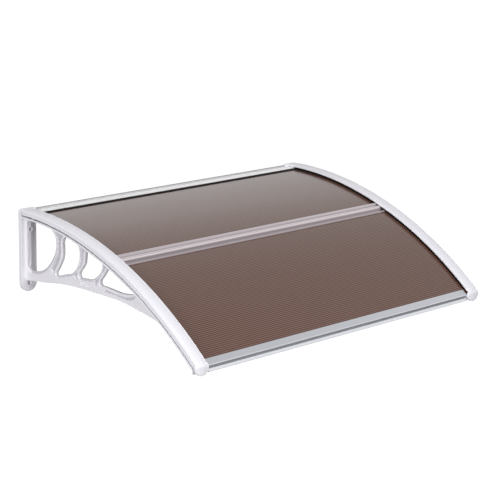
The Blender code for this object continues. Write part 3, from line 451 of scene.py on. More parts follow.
def moulded_abs(name, light, shade, marks=FLOW_MARKS):
    """White ABS from a satin mould: soft sheen, fine grain and flow marks, scaled along each axis."""
    material, tree, shader = new_material(name, IOR=1.54)
    place = add_node(tree, "TexCoord", {}).outputs["Object"]
    drawn = add_node(tree, "Mapping", {"Vector": place, "Scale": marks})
    flow = add_node(tree, "TexNoise", {"Vector": drawn.outputs["Vector"], "Scale": 1.0, "Detail": 2.0})
    tint = add_node(tree, "Mix", {"Factor": flow.outputs["Fac"], MIX_A: linear_colour(light),
                                  MIX_B: linear_colour(shade)}, data_type="RGBA")
    tree.links.new(tint.outputs[MIX_RESULT], shader.inputs["Base Color"])
    gloss = add_node(tree, "MapRange", {"Value": flow.outputs["Fac"], "To Min": 0.3, "To Max": 0.42})
    tree.links.new(gloss.outputs["Result"], shader.inputs["Roughness"])
    # Grain of 0.3 mm in the real mould, drawn at 1.2 mm so that it shows
    grain = add_node(tree, "TexNoise", {"Vector": place, "Scale": 850.0, "Detail": 2.0})
    relief = add_node(tree, "Bump", {"Height": grain.outputs["Fac"], "Strength": 0.12,
                                     "Distance": 0.15 * MM})
    tree.links.new(relief.outputs["Normal"], shader.inputs["Normal"])
    return material


def arm_stations():
    """X places through the arm, each with how far its rims are rounded off and the band's share."""
    near = ARM_EDGE - HALF_WIDTH
    front = []
    for depth, share in BAND_SECTION:
        short = RIM_ROUND - depth * MM
        front.append((near + depth * MM, RIM_ROUND - math.sqrt(max(0, RIM_ROUND ** 2 - short ** 2)), share))
    return front + [(2 * near + ARM_THICKNESS - x, off, share) for x, off, share in reversed(front)]


def outward_directions(outline):
    """Directions out of a closed outline, one for each of its places."""
    area = sum(a.x * b.y - b.x * a.y for a, b in zip(outline, outline[1:] + outline[:1]))
    directions = []
    for before, after in zip(outline[-1:] + outline[:-1], outline[1:] + outline[:1]):
        along = (after - before).normalized() * math.copysign(1, area)
        directions.append(Vector((along.y, -along.x)))
    return directions


def widened(outline, distance, band=None):
    """Closed outline grown by a distance, or by the band's width where it faces that way."""
    grown = []
    for place, out in zip(outline, outward_directions(outline)):
        share = 0 if band is None else min(1, max(0, BAND_SPREAD * out.dot(BAND_FACING)))
        grown.append(place + out * (distance + ((band or 0) - distance) * share))
    return grown


def bridged(bm, loops):
    """Walls between each edge loop and the next."""
    for first, second in zip(loops, loops[1:]):
        bmesh.ops.bridge_loops(bm, edges=first + second)


def openwork_arm():
    """Arm with rounded rims along its openings and its lower edge, and with sunk pockets."""
    root = Vector((-PLATE_THICKNESS / 2, CHORD_ROOT))
    lower = smooth_line([root, *on_arm(in_metres(CHORD_BOTTOM))])
    top = roof_arc(roof_run(root.x, FLANGE_UNDERSIDE), CHORD_BOTTOM[-1][0] * MM, FLANGE_TOP - ARM_UNDER_TOP)
    bm = bmesh.new()
    outer_loops = []
    for x, off, _ in arm_stations():
        raised = shifted_line(lower, -off)
        raised[0].x = root.x
        outer_loops.append(outline_edges(bm, raised + top[::-1], x))
    bridged(bm, outer_loops)
    faces = [outer_loops[0], outer_loops[-1]]
    for i in range(len(CHORD_TOP)):
        outline = opening_outline(i)
        loops = []
        for x, off, share in arm_stations():
            band = BAND_WIDTHS[i] * share if BAND_WIDTHS[i] else None
            loops.append(outline_edges(bm, widened(outline, off, band), x))
        bridged(bm, loops)
        faces[0] += loops[0]
        faces[1] += loops[-1]
    pockets = [strut_pocket(i) for i in range(len(WALL_EDGES))]
    pockets += [smooth_line(on_arm(in_metres(points)), closed=True) for points in CHORD_POCKETS]
    middle_depth = (POCKET_DEPTH + POCKET_FRONT_DEPTH) / 2
    for outline in pockets:
        for side, face, inward in ((0, ARM_EDGE, 1), (1, ARM_EDGE + ARM_THICKNESS, -1)):
            loops = []
            for share, wide in POCKET_BRIM:
                edges = outline_edges(bm, widened(outline, wide * MM), face - HALF_WIDTH)
                for edge, out in zip(edges, outward_directions(outline)):
                    depth = middle_depth + (POCKET_DEPTH - middle_depth) * out.x
                    edge.verts[0].co.x += inward * share * depth * MM
                loops.append(edges)
            bridged(bm, loops)
            faces[side] += loops[0]
            bmesh.ops.triangle_fill(bm, edges=loops[-1], use_beauty=True)
    for edges in faces:
        bmesh.ops.triangle_fill(bm, edges=edges, use_dissolve=True)
    bmesh.ops.recalc_face_normals(bm, faces=bm.faces)
    return bm


def plate_solid(inset, back, front, rounding):
    """Solid in the wall plate's shape: half disc at the foot, rounded top corners and front edge."""
    left, right = inset - HALF_WIDTH, PLATE_WIDTH - inset - HALF_WIDTH
    radius = PLATE_MIDDLE - inset
    bm = bmesh.new()
    foot = [bm.verts.new((x, back, LOWER_HOLE - radius)) for x in (left, right)]
    head = [bm.verts.new((x, back, PLATE_TOP - inset)) for x in (right, left)]
    bm.faces.new(foot + head)
    rounded(bm, foot, radius - FOOT_FLAT, FOOT_STEPS, "VERTICES", clamp=False)
    rounded(bm, head, max(PLATE_CORNER - inset, SMALLEST_CORNER), CORNER_STEPS, "VERTICES", clamp=False)
    pushed_out(bm, (0, front - back, 0))
    if rounding:
        brim = [edge for edge in bm.edges if all(abs(v.co.y - front) < WELD for v in edge.verts)]
        rounded(bm, brim, rounding, PLATE_ROUND_STEPS)
    return bm


def leg_fillet(side):
    """Hollow fillet between the plate's front and one face of the leg; side is -1 or 1."""
    corner = ARM_EDGE + (ARM_THICKNESS if side > 0 else 0) - HALF_WIDTH
    foot = CHORD_ROOT + FILLET_FOOT
    front, back = -PLATE_THICKNESS - LEG_FILLET, -PLATE_THICKNESS + 2 * PAST
    places = [(corner, front)]
    for i in range(1, FILLET_STEPS + 1):
        turn = QUARTER_TURN * i / FILLET_STEPS
        across = side * LEG_FILLET * (1 - math.cos(turn))
        places.append((corner + across, -PLATE_THICKNESS - LEG_FILLET * (1 - math.sin(turn))))
    places.append((corner + side * LEG_FILLET, back))
    places.append((corner - side * 2 * PAST, back))
    places.append((corner - side * 2 * PAST, front))
    bm = bmesh.new()
    bm.faces.new([bm.verts.new((x, y, foot)) for x, y in places])
    pushed_out(bm, (0, 0, roof_height(front, FLANGE_UNDERSIDE) + 2 * PAST - foot))
    return bm


def top_flange():
    """Flange along the roof, with the tab turned down behind the cover's nose."""
    root = -PLATE_THICKNESS / 2
    top = roof_arc(roof_run(root, FLANGE_TOP), roof_run(TAB_FRONT, FLANGE_TOP), FLANGE_TOP)
    under_end = roof_run(root, FLANGE_UNDERSIDE)
    under = roof_arc(roof_run(TAB_BACK, FLANGE_UNDERSIDE), under_end, FLANGE_UNDERSIDE)
    outline = top + [Vector((TAB_FRONT, TAB_BOTTOM)), Vector((TAB_BACK, TAB_BOTTOM))] + under
    return extruded(outline, -HALF_WIDTH, FLANGE_WIDTH - HALF_WIDTH, FLANGE_ROUND)


def is_sunk(face):
    """Whether a face takes the painted pocket shade: in a pocket or band, but not the chord's first pocket.
    """
    inward = HALF_WIDTH - abs(face.center.x) - ARM_EDGE
    run, depth = arm_place(face.center.y, face.center.z)
    if run < SUNK_START or depth < 0 or abs(face.normal.x) < SUNK_FACING:
        return False
    start, end = in_metres(PLAIN_POCKET)
    if start.x < run < end.x and depth > start.y + (end.y - start.y) * (run - start.x) / (end.x - start.x):
        return False
    return SUNK_LEAST < inward < ARM_THICKNESS - SUNK_LEAST


bracket_left = loose_object(openwork_arm(), "moulded_bracket_left")
boss = spun([(radius * MM, height * MM) for radius, height in PLATE_BOSS],
            forward_frame(PLATE_MIDDLE, UPPER_HOLE, PLATE_BOSS_BASE))
plate = plate_solid(0, 0, -PLATE_THICKNESS, PLATE_ROUND)
join_or_cut(bracket_left, [top_flange(), plate, leg_fillet(-1), leg_fillet(1), boss], "UNION")
core = loose_object(plate_solid(PLATE_WALL, PAST, -PLATE_CORE, 0), "core")
left_out = []
for height in (UPPER_HOLE, LOWER_HOLE):
    left_out.append(spun(rod(PAD_RADIUS, PAD_HEIGHT), forward_frame(PLATE_MIDDLE, height, 2 * PAST)))
for i in range(RIB_COUNT):
    low, high = (UPPER_HOLE + RIB_PITCH * (1 - i) + half for half in (-RIB_HALF, RIB_HALF))
    behind, ahead = 2 * PAST, -PLATE_CORE - PAST
    rib = ((behind, low), (ahead, low), (ahead, high), (behind, high))
    left_out.append(extruded(rib, -HALF_WIDTH - PAST, PLATE_WIDTH + PAST - HALF_WIDTH))
join_or_cut(core, left_out, "DIFFERENCE")
hollow = bmesh.new()
hollow.from_mesh(core.data)
bpy.data.objects.remove(core)
cutters = [hollow]
for height, mouth, sink in WALL_HOLES:
    seat, end = mouth - SEAT_DEPTH, mouth + 3 * PAST
    profile = [(0, 0), (WALL_HOLE_RADIUS, 0), (WALL_HOLE_RADIUS, seat), (sink, seat), (sink, end), (0, end)]
    cutters.append(spun(profile, forward_frame(PLATE_MIDDLE, height, PAST)))
for run in SCREW_RUNS:
    below = outward_frame(SCREW_EDGE, run, FLANGE_UNDERSIDE - 2 * PAST)
    cutters.append(spun(rod(SCREW_HOLE_RADIUS, SCREW_HOLE_LENGTH), below, SCREW_HOLE_STEPS))
join_or_cut(bracket_left, cutters, "DIFFERENCE")
bracket_abs = moulded_abs("satin_white_abs", "#F0EEF4", "#E9E7EE")
# Darker copy of the white ABS: painted shade for the pockets' and bands' recesses
painted_pocket_shade_abs = moulded_abs("white_abs_painted_pocket_shade", "#D0CED5", "#C5C3CA")
bracket_right = mirrored(bracket_left, "moulded_bracket_right")
for bracket, node in ((bracket_right, "bracket_right"), (bracket_left, "bracket_left")):
    dressed(bracket, bracket_abs, "white_plastic", node)
    # Faces in the pockets and bands take the darker copy, as painted shade
    bracket.data.materials.append(painted_pocket_shade_abs)
    for face in bracket.data.polygons:
        face.material_index = int(is_sunk(face))

# REAR RAIL AND WALL SEAL
# Satin anodised aluminium extrusion against the plates, gripping the rear sheet's edge, and the
# light grey rubber strip behind it that keeps rain off the wall between the brackets.
CLEARANCE = 0.3 * MM
SHEET_EDGE = 12.5 * MM
PROFILE_HALF = HALF_WIDTH - SHEET_EDGE
PROFILE_WALL = 2 * MM
ON_SHEET = 0.6 * MM
UNDER_SHEET = -5.0 * MM
UNDER_FLANGE = UNDER_SHEET - PROFILE_WALL
UNDER_LIP = 6.7 * MM
CUT_DEPTH = 16 * MM
RAIL_BACK = -PLATE_THICKNESS - CLEARANCE
RAIL_WEB = RAIL_BACK - 2.4 * MM
RAIL_FRONT = -40 * MM
RAIL_FLANGE_FRONT = RAIL_FRONT + 2 * MM
RAIL_ROUND = 0.25 * MM
# Ribbed top, from the wall forward: Y and the drop under the highest rib, in millimetres
RAIL_RIBS = ((-12.3, 0), (-17, 0), (-18, 1.2), (-21, 1.2), (-22, 0.1), (-31, 0.2), (-31.8, 1.3),
             (-34.6, 1.4), (-35.4, 0.5), (-38.6, 0.9), (-40, 2.0))
# Rises over the roof's arc between which the grooves' painted shade gives way to the crests' colour
GROOVE_RISE = 2.2 * MM
CREST_RISE = 5.5 * MM


def anodised_aluminium(name, light, shade, groove_shade=None):
    """Satin anodised extrusion: die lines along X in the colour, the sheen and the relief.

    With a colour for the grooves' painted shade, what lies low over the roof's arc takes it.
    """
    material, tree, shader = new_material(name, Metallic=1.0)
    place = add_node(tree, "TexCoord", {}).outputs["Object"]
    # Die lines of about 0.5 mm, drawn at 1 mm, that run on for half a metre
    drawn = add_node(tree, "Mapping", {"Vector": place, "Scale": (2.0, 1000.0, 1000.0)})
    lines = add_node(tree, "TexNoise", {"Vector": drawn.outputs["Vector"], "Scale": 1.0, "Detail": 3.0})
    tint = add_node(tree, "Mix", {"Factor": lines.outputs["Fac"], MIX_A: linear_colour(light),
                                  MIX_B: linear_colour(shade)}, data_type="RGBA")
    # Painted shade: the cap's low grooves take a darker colour
    if groove_shade:
        centre = (0, CROWN_SETBACK, ROOF_RADIUS)
        arm = add_node(tree, "VectorMath", {0: place, 1: centre}, operation="ADD")
        flat = add_node(tree, "VectorMath", {0: arm.outputs[0], 1: (0, 1, 1)}, operation="MULTIPLY")
        radius = add_node(tree, "VectorMath", {0: flat.outputs[0]}, operation="LENGTH")
        high = add_node(tree, "MapRange", {"Value": radius.outputs["Value"],
                                           "From Min": ROOF_RADIUS + GROOVE_RISE,
                                           "From Max": ROOF_RADIUS + CREST_RISE})
        tint = add_node(tree, "Mix", {"Factor": high.outputs["Result"], MIX_A: linear_colour(groove_shade),
                                      MIX_B: tint.outputs[MIX_RESULT]}, data_type="RGBA")
    tree.links.new(tint.outputs[MIX_RESULT], shader.inputs["Base Color"])
    gloss = add_node(tree, "MapRange", {"Value": lines.outputs["Fac"], "To Min": 0.24, "To Max": 0.42})
    tree.links.new(gloss.outputs["Result"], shader.inputs["Roughness"])
    relief = add_node(tree, "Bump", {"Height": lines.outputs["Fac"], "Strength": 0.05, "Distance": 0.1 * MM})
    tree.links.new(relief.outputs["Normal"], shader.inputs["Normal"])
    return material


def soft_rubber(name, light, shade, roughness):
    """Extruded rubber: matt, with a fine bloom."""
    material, tree, shader = new_material(name, Roughness=roughness, IOR=1.52, Specular_IOR_Level=0.1)
    place = add_node(tree, "TexCoord", {}).outputs["Object"]
    # Bloom in clouds of about 6 mm
    bloom = add_node(tree, "TexNoise", {"Vector": place, "Scale": 180.0, "Detail": 4.0})
    tint = add_node(tree, "Mix", {"Factor": bloom.outputs["Fac"], MIX_A: linear_colour(light),
                                  MIX_B: linear_colour(shade)}, data_type="RGBA")
    tree.links.new(tint.outputs[MIX_RESULT], shader.inputs["Base Color"])
    relief = add_node(tree, "Bump", {"Height": bloom.outputs["Fac"], "Strength": 0.2, "Distance": 0.2 * MM})
    tree.links.new(relief.outputs["Normal"], shader.inputs["Normal"])
    return material


def finish(nodes, material):
    """Give CAD nodes their material."""
    for name in nodes:
        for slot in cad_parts[name].material_slots:
            slot.material = material


def cut_back(profile, near, far):
    """Take a cross profile's lower flange away over the brackets' flanges."""
    top = [Vector((y, roof_height(y, FLANGE_TOP + CLEARANCE))) for y in (near, (near + far) / 2, far)]
    foot = [Vector((y, top[1].y - CUT_DEPTH)) for y in (far, near)]
    blocks = []
    for side in (-1, 1):
        blocks.append(extruded(top + foot, side * (HALF_WIDTH - FLANGE_WIDTH - PAST), side * HALF_WIDTH))
    join_or_cut(profile, blocks, "DIFFERENCE")


def rear_rail_outline():
    """Y-Z outline of the rear rail: ribbed top, lip, slot for the sheet, lower flange and back."""
    outline = [roof_point(roof_run(y * MM, UNDER_LIP), UNDER_LIP - drop * MM) for y, drop in RAIL_RIBS]
    lower = ((RAIL_FRONT, ON_SHEET), (RAIL_WEB, ON_SHEET), (RAIL_WEB, UNDER_SHEET),
             (RAIL_FLANGE_FRONT, UNDER_SHEET), (RAIL_FLANGE_FRONT, UNDER_FLANGE), (RAIL_BACK, UNDER_FLANGE))
    return outline + [Vector((y, roof_height(y, rise))) for y, rise in lower]


rail_aluminium = anodised_aluminium("anodised_aluminium_pale", "#F4F3F4", "#E6E5E7")
rear_rail = loose_object(extruded(rear_rail_outline(), -PROFILE_HALF, PROFILE_HALF, RAIL_ROUND),
                         "extruded_rear_rail")
cut_back(rear_rail, PAST, RAIL_FRONT - 4 * PAST)
dressed(rear_rail, rail_aluminium, "mill_aluminium", "rear_rail")
grey_rubber = soft_rubber("light_grey_rubber", "#C9C8CA", "#BDBCBF", 0.6)
finish(("wall_seal",), grey_rubber)

# SHEETS
# Bronze twin-wall polycarbonate, 5 mm, bent cold over the brackets with its flutes along X.
# The skins are glossy; the ribs between them show through as fine lines 5.7 mm apart.
FLUTE_PITCH = 5.7 * MM
# Share of half a pitch over which a rib fades out
RIB_FADE = 0.6

bronze_sheet, tree, shader = new_material("bronze_twin_wall_polycarbonate", IOR=1.585, Roughness=0.16)
place = add_node(tree, "TexCoord", {}).outputs["Object"]
axes = add_node(tree, "SeparateXYZ", {"Vector": place})
ahead = add_node(tree, "Math", {0: axes.outputs["Y"], 1: CROWN_SETBACK}, operation="ADD")
above = add_node(tree, "Math", {0: axes.outputs["Z"], 1: ROOF_RADIUS}, operation="ADD")
turn = add_node(tree, "Math", {0: ahead.outputs[0], 1: above.outputs[0]}, operation="ARCTAN2")
flute = add_node(tree, "Math", {0: turn.outputs[0], 1: 2 * ROOF_RADIUS / FLUTE_PITCH}, operation="MULTIPLY")
across = add_node(tree, "Math", {0: flute.outputs[0], 1: 1.0}, operation="PINGPONG")
line = add_node(tree, "MapRange", {"Value": across.outputs[0], "From Max": RIB_FADE, "To Min": 1.0,
                                   "To Max": 0.0}, interpolation_type="SMOOTHSTEP")
tint = add_node(tree, "Mix", {"Factor": line.outputs["Result"], MIX_A: linear_colour("#4E3027"),
                              MIX_B: linear_colour("#806051")}, data_type="RGBA")
tree.links.new(tint.outputs[MIX_RESULT], shader.inputs["Base Color"])
relief = add_node(tree, "Bump", {"Height": line.outputs["Result"], "Strength": 0.25, "Distance": 0.1 * MM})
tree.links.new(relief.outputs["Normal"], shader.inputs["Normal"])
finish(("sheet_rear", "sheet_front"), bronze_sheet)

# MIDDLE BAR AND FRONT RAIL
# Satin anodised extrusions across the roof: the bar joins the two sheets with a ridged cap, and
# the rail closes the front edge with a grooved face and a drip lip.
BAR_RUN = 411.5 * MM
BAR_WEB = 4.5 * MM
BAR_REACH = 24 * MM
BAR_FOOT = 17 * MM
# Ridged cap of the bar, from rear to front: shares of its length and of its height; a vertex comes
# about every step, in millimetres
BAR_CAP = ((0, 0.1), (0.01, 0.6), (0.05, 0.86), (0.12, 0.84), (0.18, 0.6), (0.25, 0.22), (0.31, 0.5),
           (0.38, 0.92), (0.46, 1.0), (0.53, 0.92), (0.58, 0.5), (0.63, 0.2), (0.72, 0.14), (0.84, 0.2),
           (0.89, 0.5), (0.94, 0.5), (0.99, 0.26), (1, 0.1))
CAP_STEP = 0.6
FRONT_SHEET_RUN = 799.5 * MM
FRONT_RAIL_RUN = 784.5 * MM
FRONT_RAIL_TOP = ON_SHEET + 2.2 * MM
FRONT_RAIL_FACE = roof_point(FRONT_SHEET_RUN, FRONT_RAIL_TOP).x - 3.4 * MM
FRONT_RAIL_EDGE = 40.75 * MM
FRONT_RAIL_WALL = 2.4 * MM
FRONT_RAIL_BEND = 2.6 * MM
FRONT_RAIL_CORNER = 1.2 * MM
FRONT_RAIL_STEPS = 4
FRONT_FLANGE_STEPS = 3
FRONT_RAIL_ROUND = 0.2 * MM
# Edge and grooved face of the rail, from the top down: distance behind the face and under the
# crest, in millimetres
RAIL_FACE = ((1.2, 0.9), (0.3, 2), (0, 3.2), (0, 6.4), (0.3, 6.9), (2.1, 7.3), (2.1, 9.6), (0.4, 10.6),
             (-0.2, 11.2), (-3.0, 16.0), (-3.2, 17), (-2.6, 18))
# Back of the drip lip under the crest: its foot, and both ends of the step over it
LIP_FOOT = 18 * MM
LIP_STEP_FOOT = 11.6 * MM
LIP_STEP_HEAD = 10.4 * MM


def middle_bar_outline():
    """Y-Z outline of the bar between the sheets: cap, web and lower flange."""
    cap = []
    for along, share in BAR_CAP:
        run = BAR_RUN - BAR_REACH + 2 * BAR_REACH * along
        cap.append((run / MM, share * (UNDER_LIP - ON_SHEET) / MM))
    outline = [roof_point(run * MM, ON_SHEET + rise * MM) for run, rise in smooth_line(cap, step=CAP_STEP)]
    lower = ((BAR_REACH, ON_SHEET), (BAR_WEB, ON_SHEET), (BAR_WEB, UNDER_SHEET), (BAR_FOOT, UNDER_SHEET),
             (BAR_FOOT, UNDER_FLANGE))
    outline += [roof_point(BAR_RUN + across, rise) for across, rise in lower]
    return outline + [roof_point(BAR_RUN - across, rise) for across, rise in reversed(lower)]


def front_rail_outline():
    """Y-Z outline of the front rail: top, rounded edge, grooved face, drip lip and both flanges."""
    inner = FRONT_RAIL_FACE + FRONT_RAIL_WALL
    web = inner + PROFILE_WALL
    bend_run = roof_run(FRONT_RAIL_FACE + FRONT_RAIL_BEND, FRONT_RAIL_TOP)
    outline = [roof_point(FRONT_RAIL_RUN, ON_SHEET), roof_point(FRONT_RAIL_RUN, FRONT_RAIL_TOP)]
    outline += roof_arc(FRONT_RAIL_RUN + FRONT_RAIL_CORNER, bend_run, FRONT_RAIL_TOP, FRONT_RAIL_STEPS)
    crest = outline[-1].y
    outline += [Vector((FRONT_RAIL_FACE + behind * MM, crest - down * MM)) for behind, down in RAIL_FACE]
    outline += [Vector((inner, crest - LIP_FOOT)), Vector((inner, crest - LIP_STEP_FOOT)),
                Vector((web, crest - LIP_STEP_HEAD)),
                Vector((web, roof_height(web, UNDER_SHEET) - PROFILE_WALL))]
    flange_run = roof_run(web + PROFILE_WALL, UNDER_SHEET)
    outline += roof_arc(flange_run, FRONT_RAIL_RUN, UNDER_FLANGE, FRONT_FLANGE_STEPS)
    outline += [roof_point(FRONT_RAIL_RUN, UNDER_SHEET), roof_point(FRONT_SHEET_RUN, UNDER_SHEET)]
    outline += [Vector((inner, roof_height(inner, rise))) for rise in (UNDER_SHEET, ON_SHEET)]
    return outline + [roof_point(FRONT_SHEET_RUN, ON_SHEET)]


# The bar's grooves take a darker colour: painted shade
bar_aluminium = anodised_aluminium("anodised_aluminium_warm", "#D6CED1", "#C6BDC0", "#9B9094")
middle_bar = loose_object(extruded(middle_bar_outline(), -PROFILE_HALF, PROFILE_HALF), "extruded_middle_bar")
cut_back(middle_bar, roof_point(BAR_RUN - BAR_FOOT - 3 * PAST, UNDER_SHEET).x,
         roof_point(BAR_RUN + BAR_FOOT + 3 * PAST, UNDER_SHEET).x)
dressed(middle_bar, bar_aluminium, "mill_aluminium", "middle_bar")
lip_aluminium = anodised_aluminium("anodised_aluminium_cool", "#D6D8DD", "#C0C2C8")
rail_half = HALF_WIDTH - FRONT_RAIL_EDGE
front_rail = loose_object(extruded(front_rail_outline(), -rail_half, rail_half, FRONT_RAIL_ROUND),
                          "extruded_front_rail")
dressed(front_rail, lip_aluminium, "mill_aluminium", "front_rail")

# SEALS
# Black rubber strips: one in front of the rear rail, and two along each side under the edge
# cover's inner lip. They are extruded, laid dry and held by the clamped cover.
black_rubber = soft_rubber("black_rubber", "#070707", "#0F0E0F", 0.6)
finish([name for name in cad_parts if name.startswith(("side_seal", "rear_gasket"))], black_rubber)

# EDGE COVERS
# White ABS strips over the sheets' side edges, each with a round nose in front. They are moulded
# with faint lengthwise lines and are drawn down by the clamp screws.
COVER_WIDTH = 36 * MM
COVER_RISE = 14 * MM
COVER_WALL = 2.8 * MM
COVER_REAR = -16 * MM
OUTER_LIP = COVER_RISE + 1 * MM
INNER_LIP = COVER_RISE - 7 * MM
NOSE_RUN = 797.4 * MM
NOSE_BEND = 16 * MM
NOSE_RADIUS = 20.75 * MM
NOSE_CENTRE = 19.5 * MM
NOSE_DEPTH = 10 * MM
NOSE_ROUND = 4 * MM
NECK_LENGTH = 14 * MM
NECK_HALF = 17 * MM
BOSS_RADIUS = 3.2 * MM
BOSS_STEPS = 24
HOLLOW_DROP = 2.5 * MM
HOLLOW_CLEAR = 0.4 * MM
CAMBER = 1.6 * MM
# Width of the lips' undersides: at most this, and this share of the half width
LIP_WALL = 4.5 * MM
LIP_SHARE = 0.6
# Half width under which the bead and the camber shrink with the cover
FULL_BEAD = 8 * MM
# Bead along each edge and the sunk line beside it: distance from the edge and depth, in millimetres
COVER_BEAD = ((0, 4.2), (0.25, 3.0), (0.9, 2.05), (1.8, 1.55), (2.5, 1.5), (3.1, 1.95), (3.8, 1.75))
# Crowned field between the beads: shares of its half width
COVER_FIELD = (0.75, 0.5, 0.25, 0, -0.25, -0.5, -0.75)
# Rings over the roof, along the neck and round the bend, and those of the nose's tip in degrees
ROOF_RINGS = 60
NECK_RINGS = 4
BEND_RINGS = 10
TIP_RINGS = (10, 20, 30, 39, 47, 54, 60, 65, 70, 74, 78, 81, 84)
# Lines 3 mm apart, each half a metre long: per metre along each axis
LENGTHWISE_MARKS = (330.0, 2.0, 2.0)


def cover_section(half_width, outer_depth, inner_depth, wall):
    """Across and depth of the cover's skin, or with a wall those of the hollow under it."""
    reach = half_width - wall
    squeeze = min(1, reach / FULL_BEAD)
    bead = [(-reach + inside * MM * squeeze, depth * MM + wall) for inside, depth in COVER_BEAD]
    flat = -bead[-1][0]
    field = [(-flat * share, CAMBER * share ** 2 * squeeze + wall) for share in COVER_FIELD]
    points = [(-reach, outer_depth), *bead, *field, *[(-across, depth) for across, depth in reversed(bead)]]
    points.append((reach, inner_depth))
    if wall == 0:
        lip = min(LIP_WALL, reach * LIP_SHARE)
        points += [(reach - lip, inner_depth), (lip - reach, outer_depth)]
    return points


def cover_rings(wall, deeper):
    """Rings of the cover from its rear end over the roof, round the nose and down to its tip."""
    rings = []

    def add_ring(place, turn, half_width, share, back=0.0):
        centre = COVER_WIDTH / 2 + (NOSE_CENTRE - COVER_WIDTH / 2) * share
        depths = [depth + (NOSE_DEPTH - depth) * share + deeper for depth in (OUTER_LIP, INNER_LIP)]
        if wall:
            depths = [min(max(depths), NOSE_BEND - HOLLOW_CLEAR)] * 2
        inward = Vector((math.sin(turn), -math.cos(turn)))
        ring = []
        for across, depth in cover_section(half_width, *depths, wall):
            y, z = place + inward * min(depth + back, max(depths))
            ring.append((centre + across - HALF_WIDTH, y, z))
        rings.append(ring)

    start = roof_run(COVER_REAR, COVER_RISE)
    length = NOSE_RUN - NECK_LENGTH - start
    for i in range(ROOF_RINGS + 1):
        run = start + length * i / ROOF_RINGS
        add_ring(roof_point(run, COVER_RISE), roof_slope(run), COVER_WIDTH / 2, 0)
    for i in range(1, NECK_RINGS + 1):
        run = NOSE_RUN - NECK_LENGTH * (1 - i / NECK_RINGS)
        ease = (1 - math.cos(math.pi * i / NECK_RINGS)) / 2
        half_width = COVER_WIDTH / 2 + (NECK_HALF - COVER_WIDTH / 2) * ease
        add_ring(roof_point(run, COVER_RISE), roof_slope(run), half_width, 0)
    slope = roof_slope(NOSE_RUN)
    bend_centre = roof_point(NOSE_RUN, COVER_RISE) - NOSE_BEND * Vector((-math.sin(slope), math.cos(slope)))
    for i in range(1, BEND_RINGS + 1):
        turn = slope + (QUARTER_TURN - slope) * i / BEND_RINGS
        place = bend_centre + NOSE_BEND * Vector((-math.sin(turn), math.cos(turn)))
        round_half = math.sqrt(NOSE_RADIUS ** 2 - (NOSE_BEND * math.cos(turn)) ** 2)
        add_ring(place, turn, max(NECK_HALF, round_half), i / BEND_RINGS)
    radius = NOSE_RADIUS - wall
    tip = Vector((bend_centre.x - NOSE_BEND, bend_centre.y))
    for degrees in TIP_RINGS:
        angle = math.radians(degrees)
        short = max(0, NOSE_ROUND - radius * (1 - math.sin(angle)))
        back = NOSE_ROUND - math.sqrt(NOSE_ROUND ** 2 - short ** 2)
        place = tip - Vector((0, radius * math.sin(angle)))
        add_ring(place, QUARTER_TURN, radius * math.cos(angle) + wall, 1, back)
    return rings


def lofted(rings):
    """Closed solid, extruded from ring to ring."""
    bm = bmesh.new()
    verts = [bm.verts.new(place) for place in rings[0]]
    loop = [bm.edges.new(pair) for pair in zip(verts, verts[1:] + verts[:1])]
    bmesh.ops.contextual_create(bm, geom=loop)
    for ring in rings[1:]:
        grown = set(bmesh.ops.extrude_edge_only(bm, edges=loop)["geom"])
        verts = [next(e.other_vert(v) for e in v.link_edges if e.other_vert(v) in grown) for v in verts]
        for vert, place in zip(verts, ring):
            vert.co = place
        loop = [bm.edges.get(pair) for pair in zip(verts, verts[1:] + verts[:1])]
    bmesh.ops.contextual_create(bm, geom=loop)
    bmesh.ops.recalc_face_normals(bm, faces=bm.faces)
    return bm


cover_left = loose_object(lofted(cover_rings(0, 0)), "moulded_cover_left")
hollow_rings = cover_rings(COVER_WALL, HOLLOW_DROP)
hollow_rings.insert(0, [(x, y + 5 * PAST, z) for x, y, z in hollow_rings[0]])
join_or_cut(cover_left, [lofted(hollow_rings)], "DIFFERENCE")
boss_profile = rod(BOSS_RADIUS, COVER_RISE - COVER_WALL - FLANGE_TOP)
boss_rise = FLANGE_TOP + CLEARANCE
bosses = [spun(boss_profile, outward_frame(SCREW_EDGE, run, boss_rise), BOSS_STEPS) for run in SCREW_RUNS]
join_or_cut(cover_left, bosses, "UNION")
cover_abs = moulded_abs("glossy_white_abs", "#F4F3F9", "#DFDEE5", LENGTHWISE_MARKS)
dressed(mirrored(cover_left, "moulded_cover_right"), cover_abs, "white_plastic", "cover_right")
dressed(cover_left, cover_abs, "white_plastic", "cover_left")

# CLAMP SCREWS
# Zinc-plated steel pan heads, driven from below through the flange into the cover's bosses.
# The plating is bright with a faint blue cast, mottled about every millimetre.
zinc_steel, tree, shader = new_material("zinc_plated_steel", Metallic=1.0, Roughness=0.3)
place = add_node(tree, "TexCoord", {}).outputs["Object"]
mottle = add_node(tree, "TexNoise", {"Vector": place, "Scale": 900.0, "Detail": 3.0})
tint = add_node(tree, "Mix", {"Factor": mottle.outputs["Fac"], MIX_A: linear_colour("#C4C6CC"),
                              MIX_B: linear_colour("#B0B1B6")}, data_type="RGBA")
tree.links.new(tint.outputs[MIX_RESULT], shader.inputs["Base Color"])
finish([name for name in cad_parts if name.startswith("clamp_screw")], zinc_steel)

# STAGE
# Pale floor at door height below the canopy, a soft sky, a lamp from the left and a larger one
# from the front, with the camera at the photograph's angle.
FLOOR_DROP = 2.3
FLOOR_HALF = 40
FLOOR_GLOW = 0.85
WHITE = linear_colour("#FFFFFF")
SKY_LEVEL = 0.33
# What the sky adds in reflections: it dims from 20 degrees up to the zenith
SHINE_START = 0.35
SHINE_START_LEVEL = 0.95
SHINE_ZENITH_LEVEL = 0.17
# Its limit, which rises from the horizon up to 24 degrees, and toward the front
LIMIT_LEVEL = 0.38
LIMIT_END = 0.4
LIMIT_END_LEVEL = 0.82
FRONT_END = -0.5
FRONT_RISE = 0.7
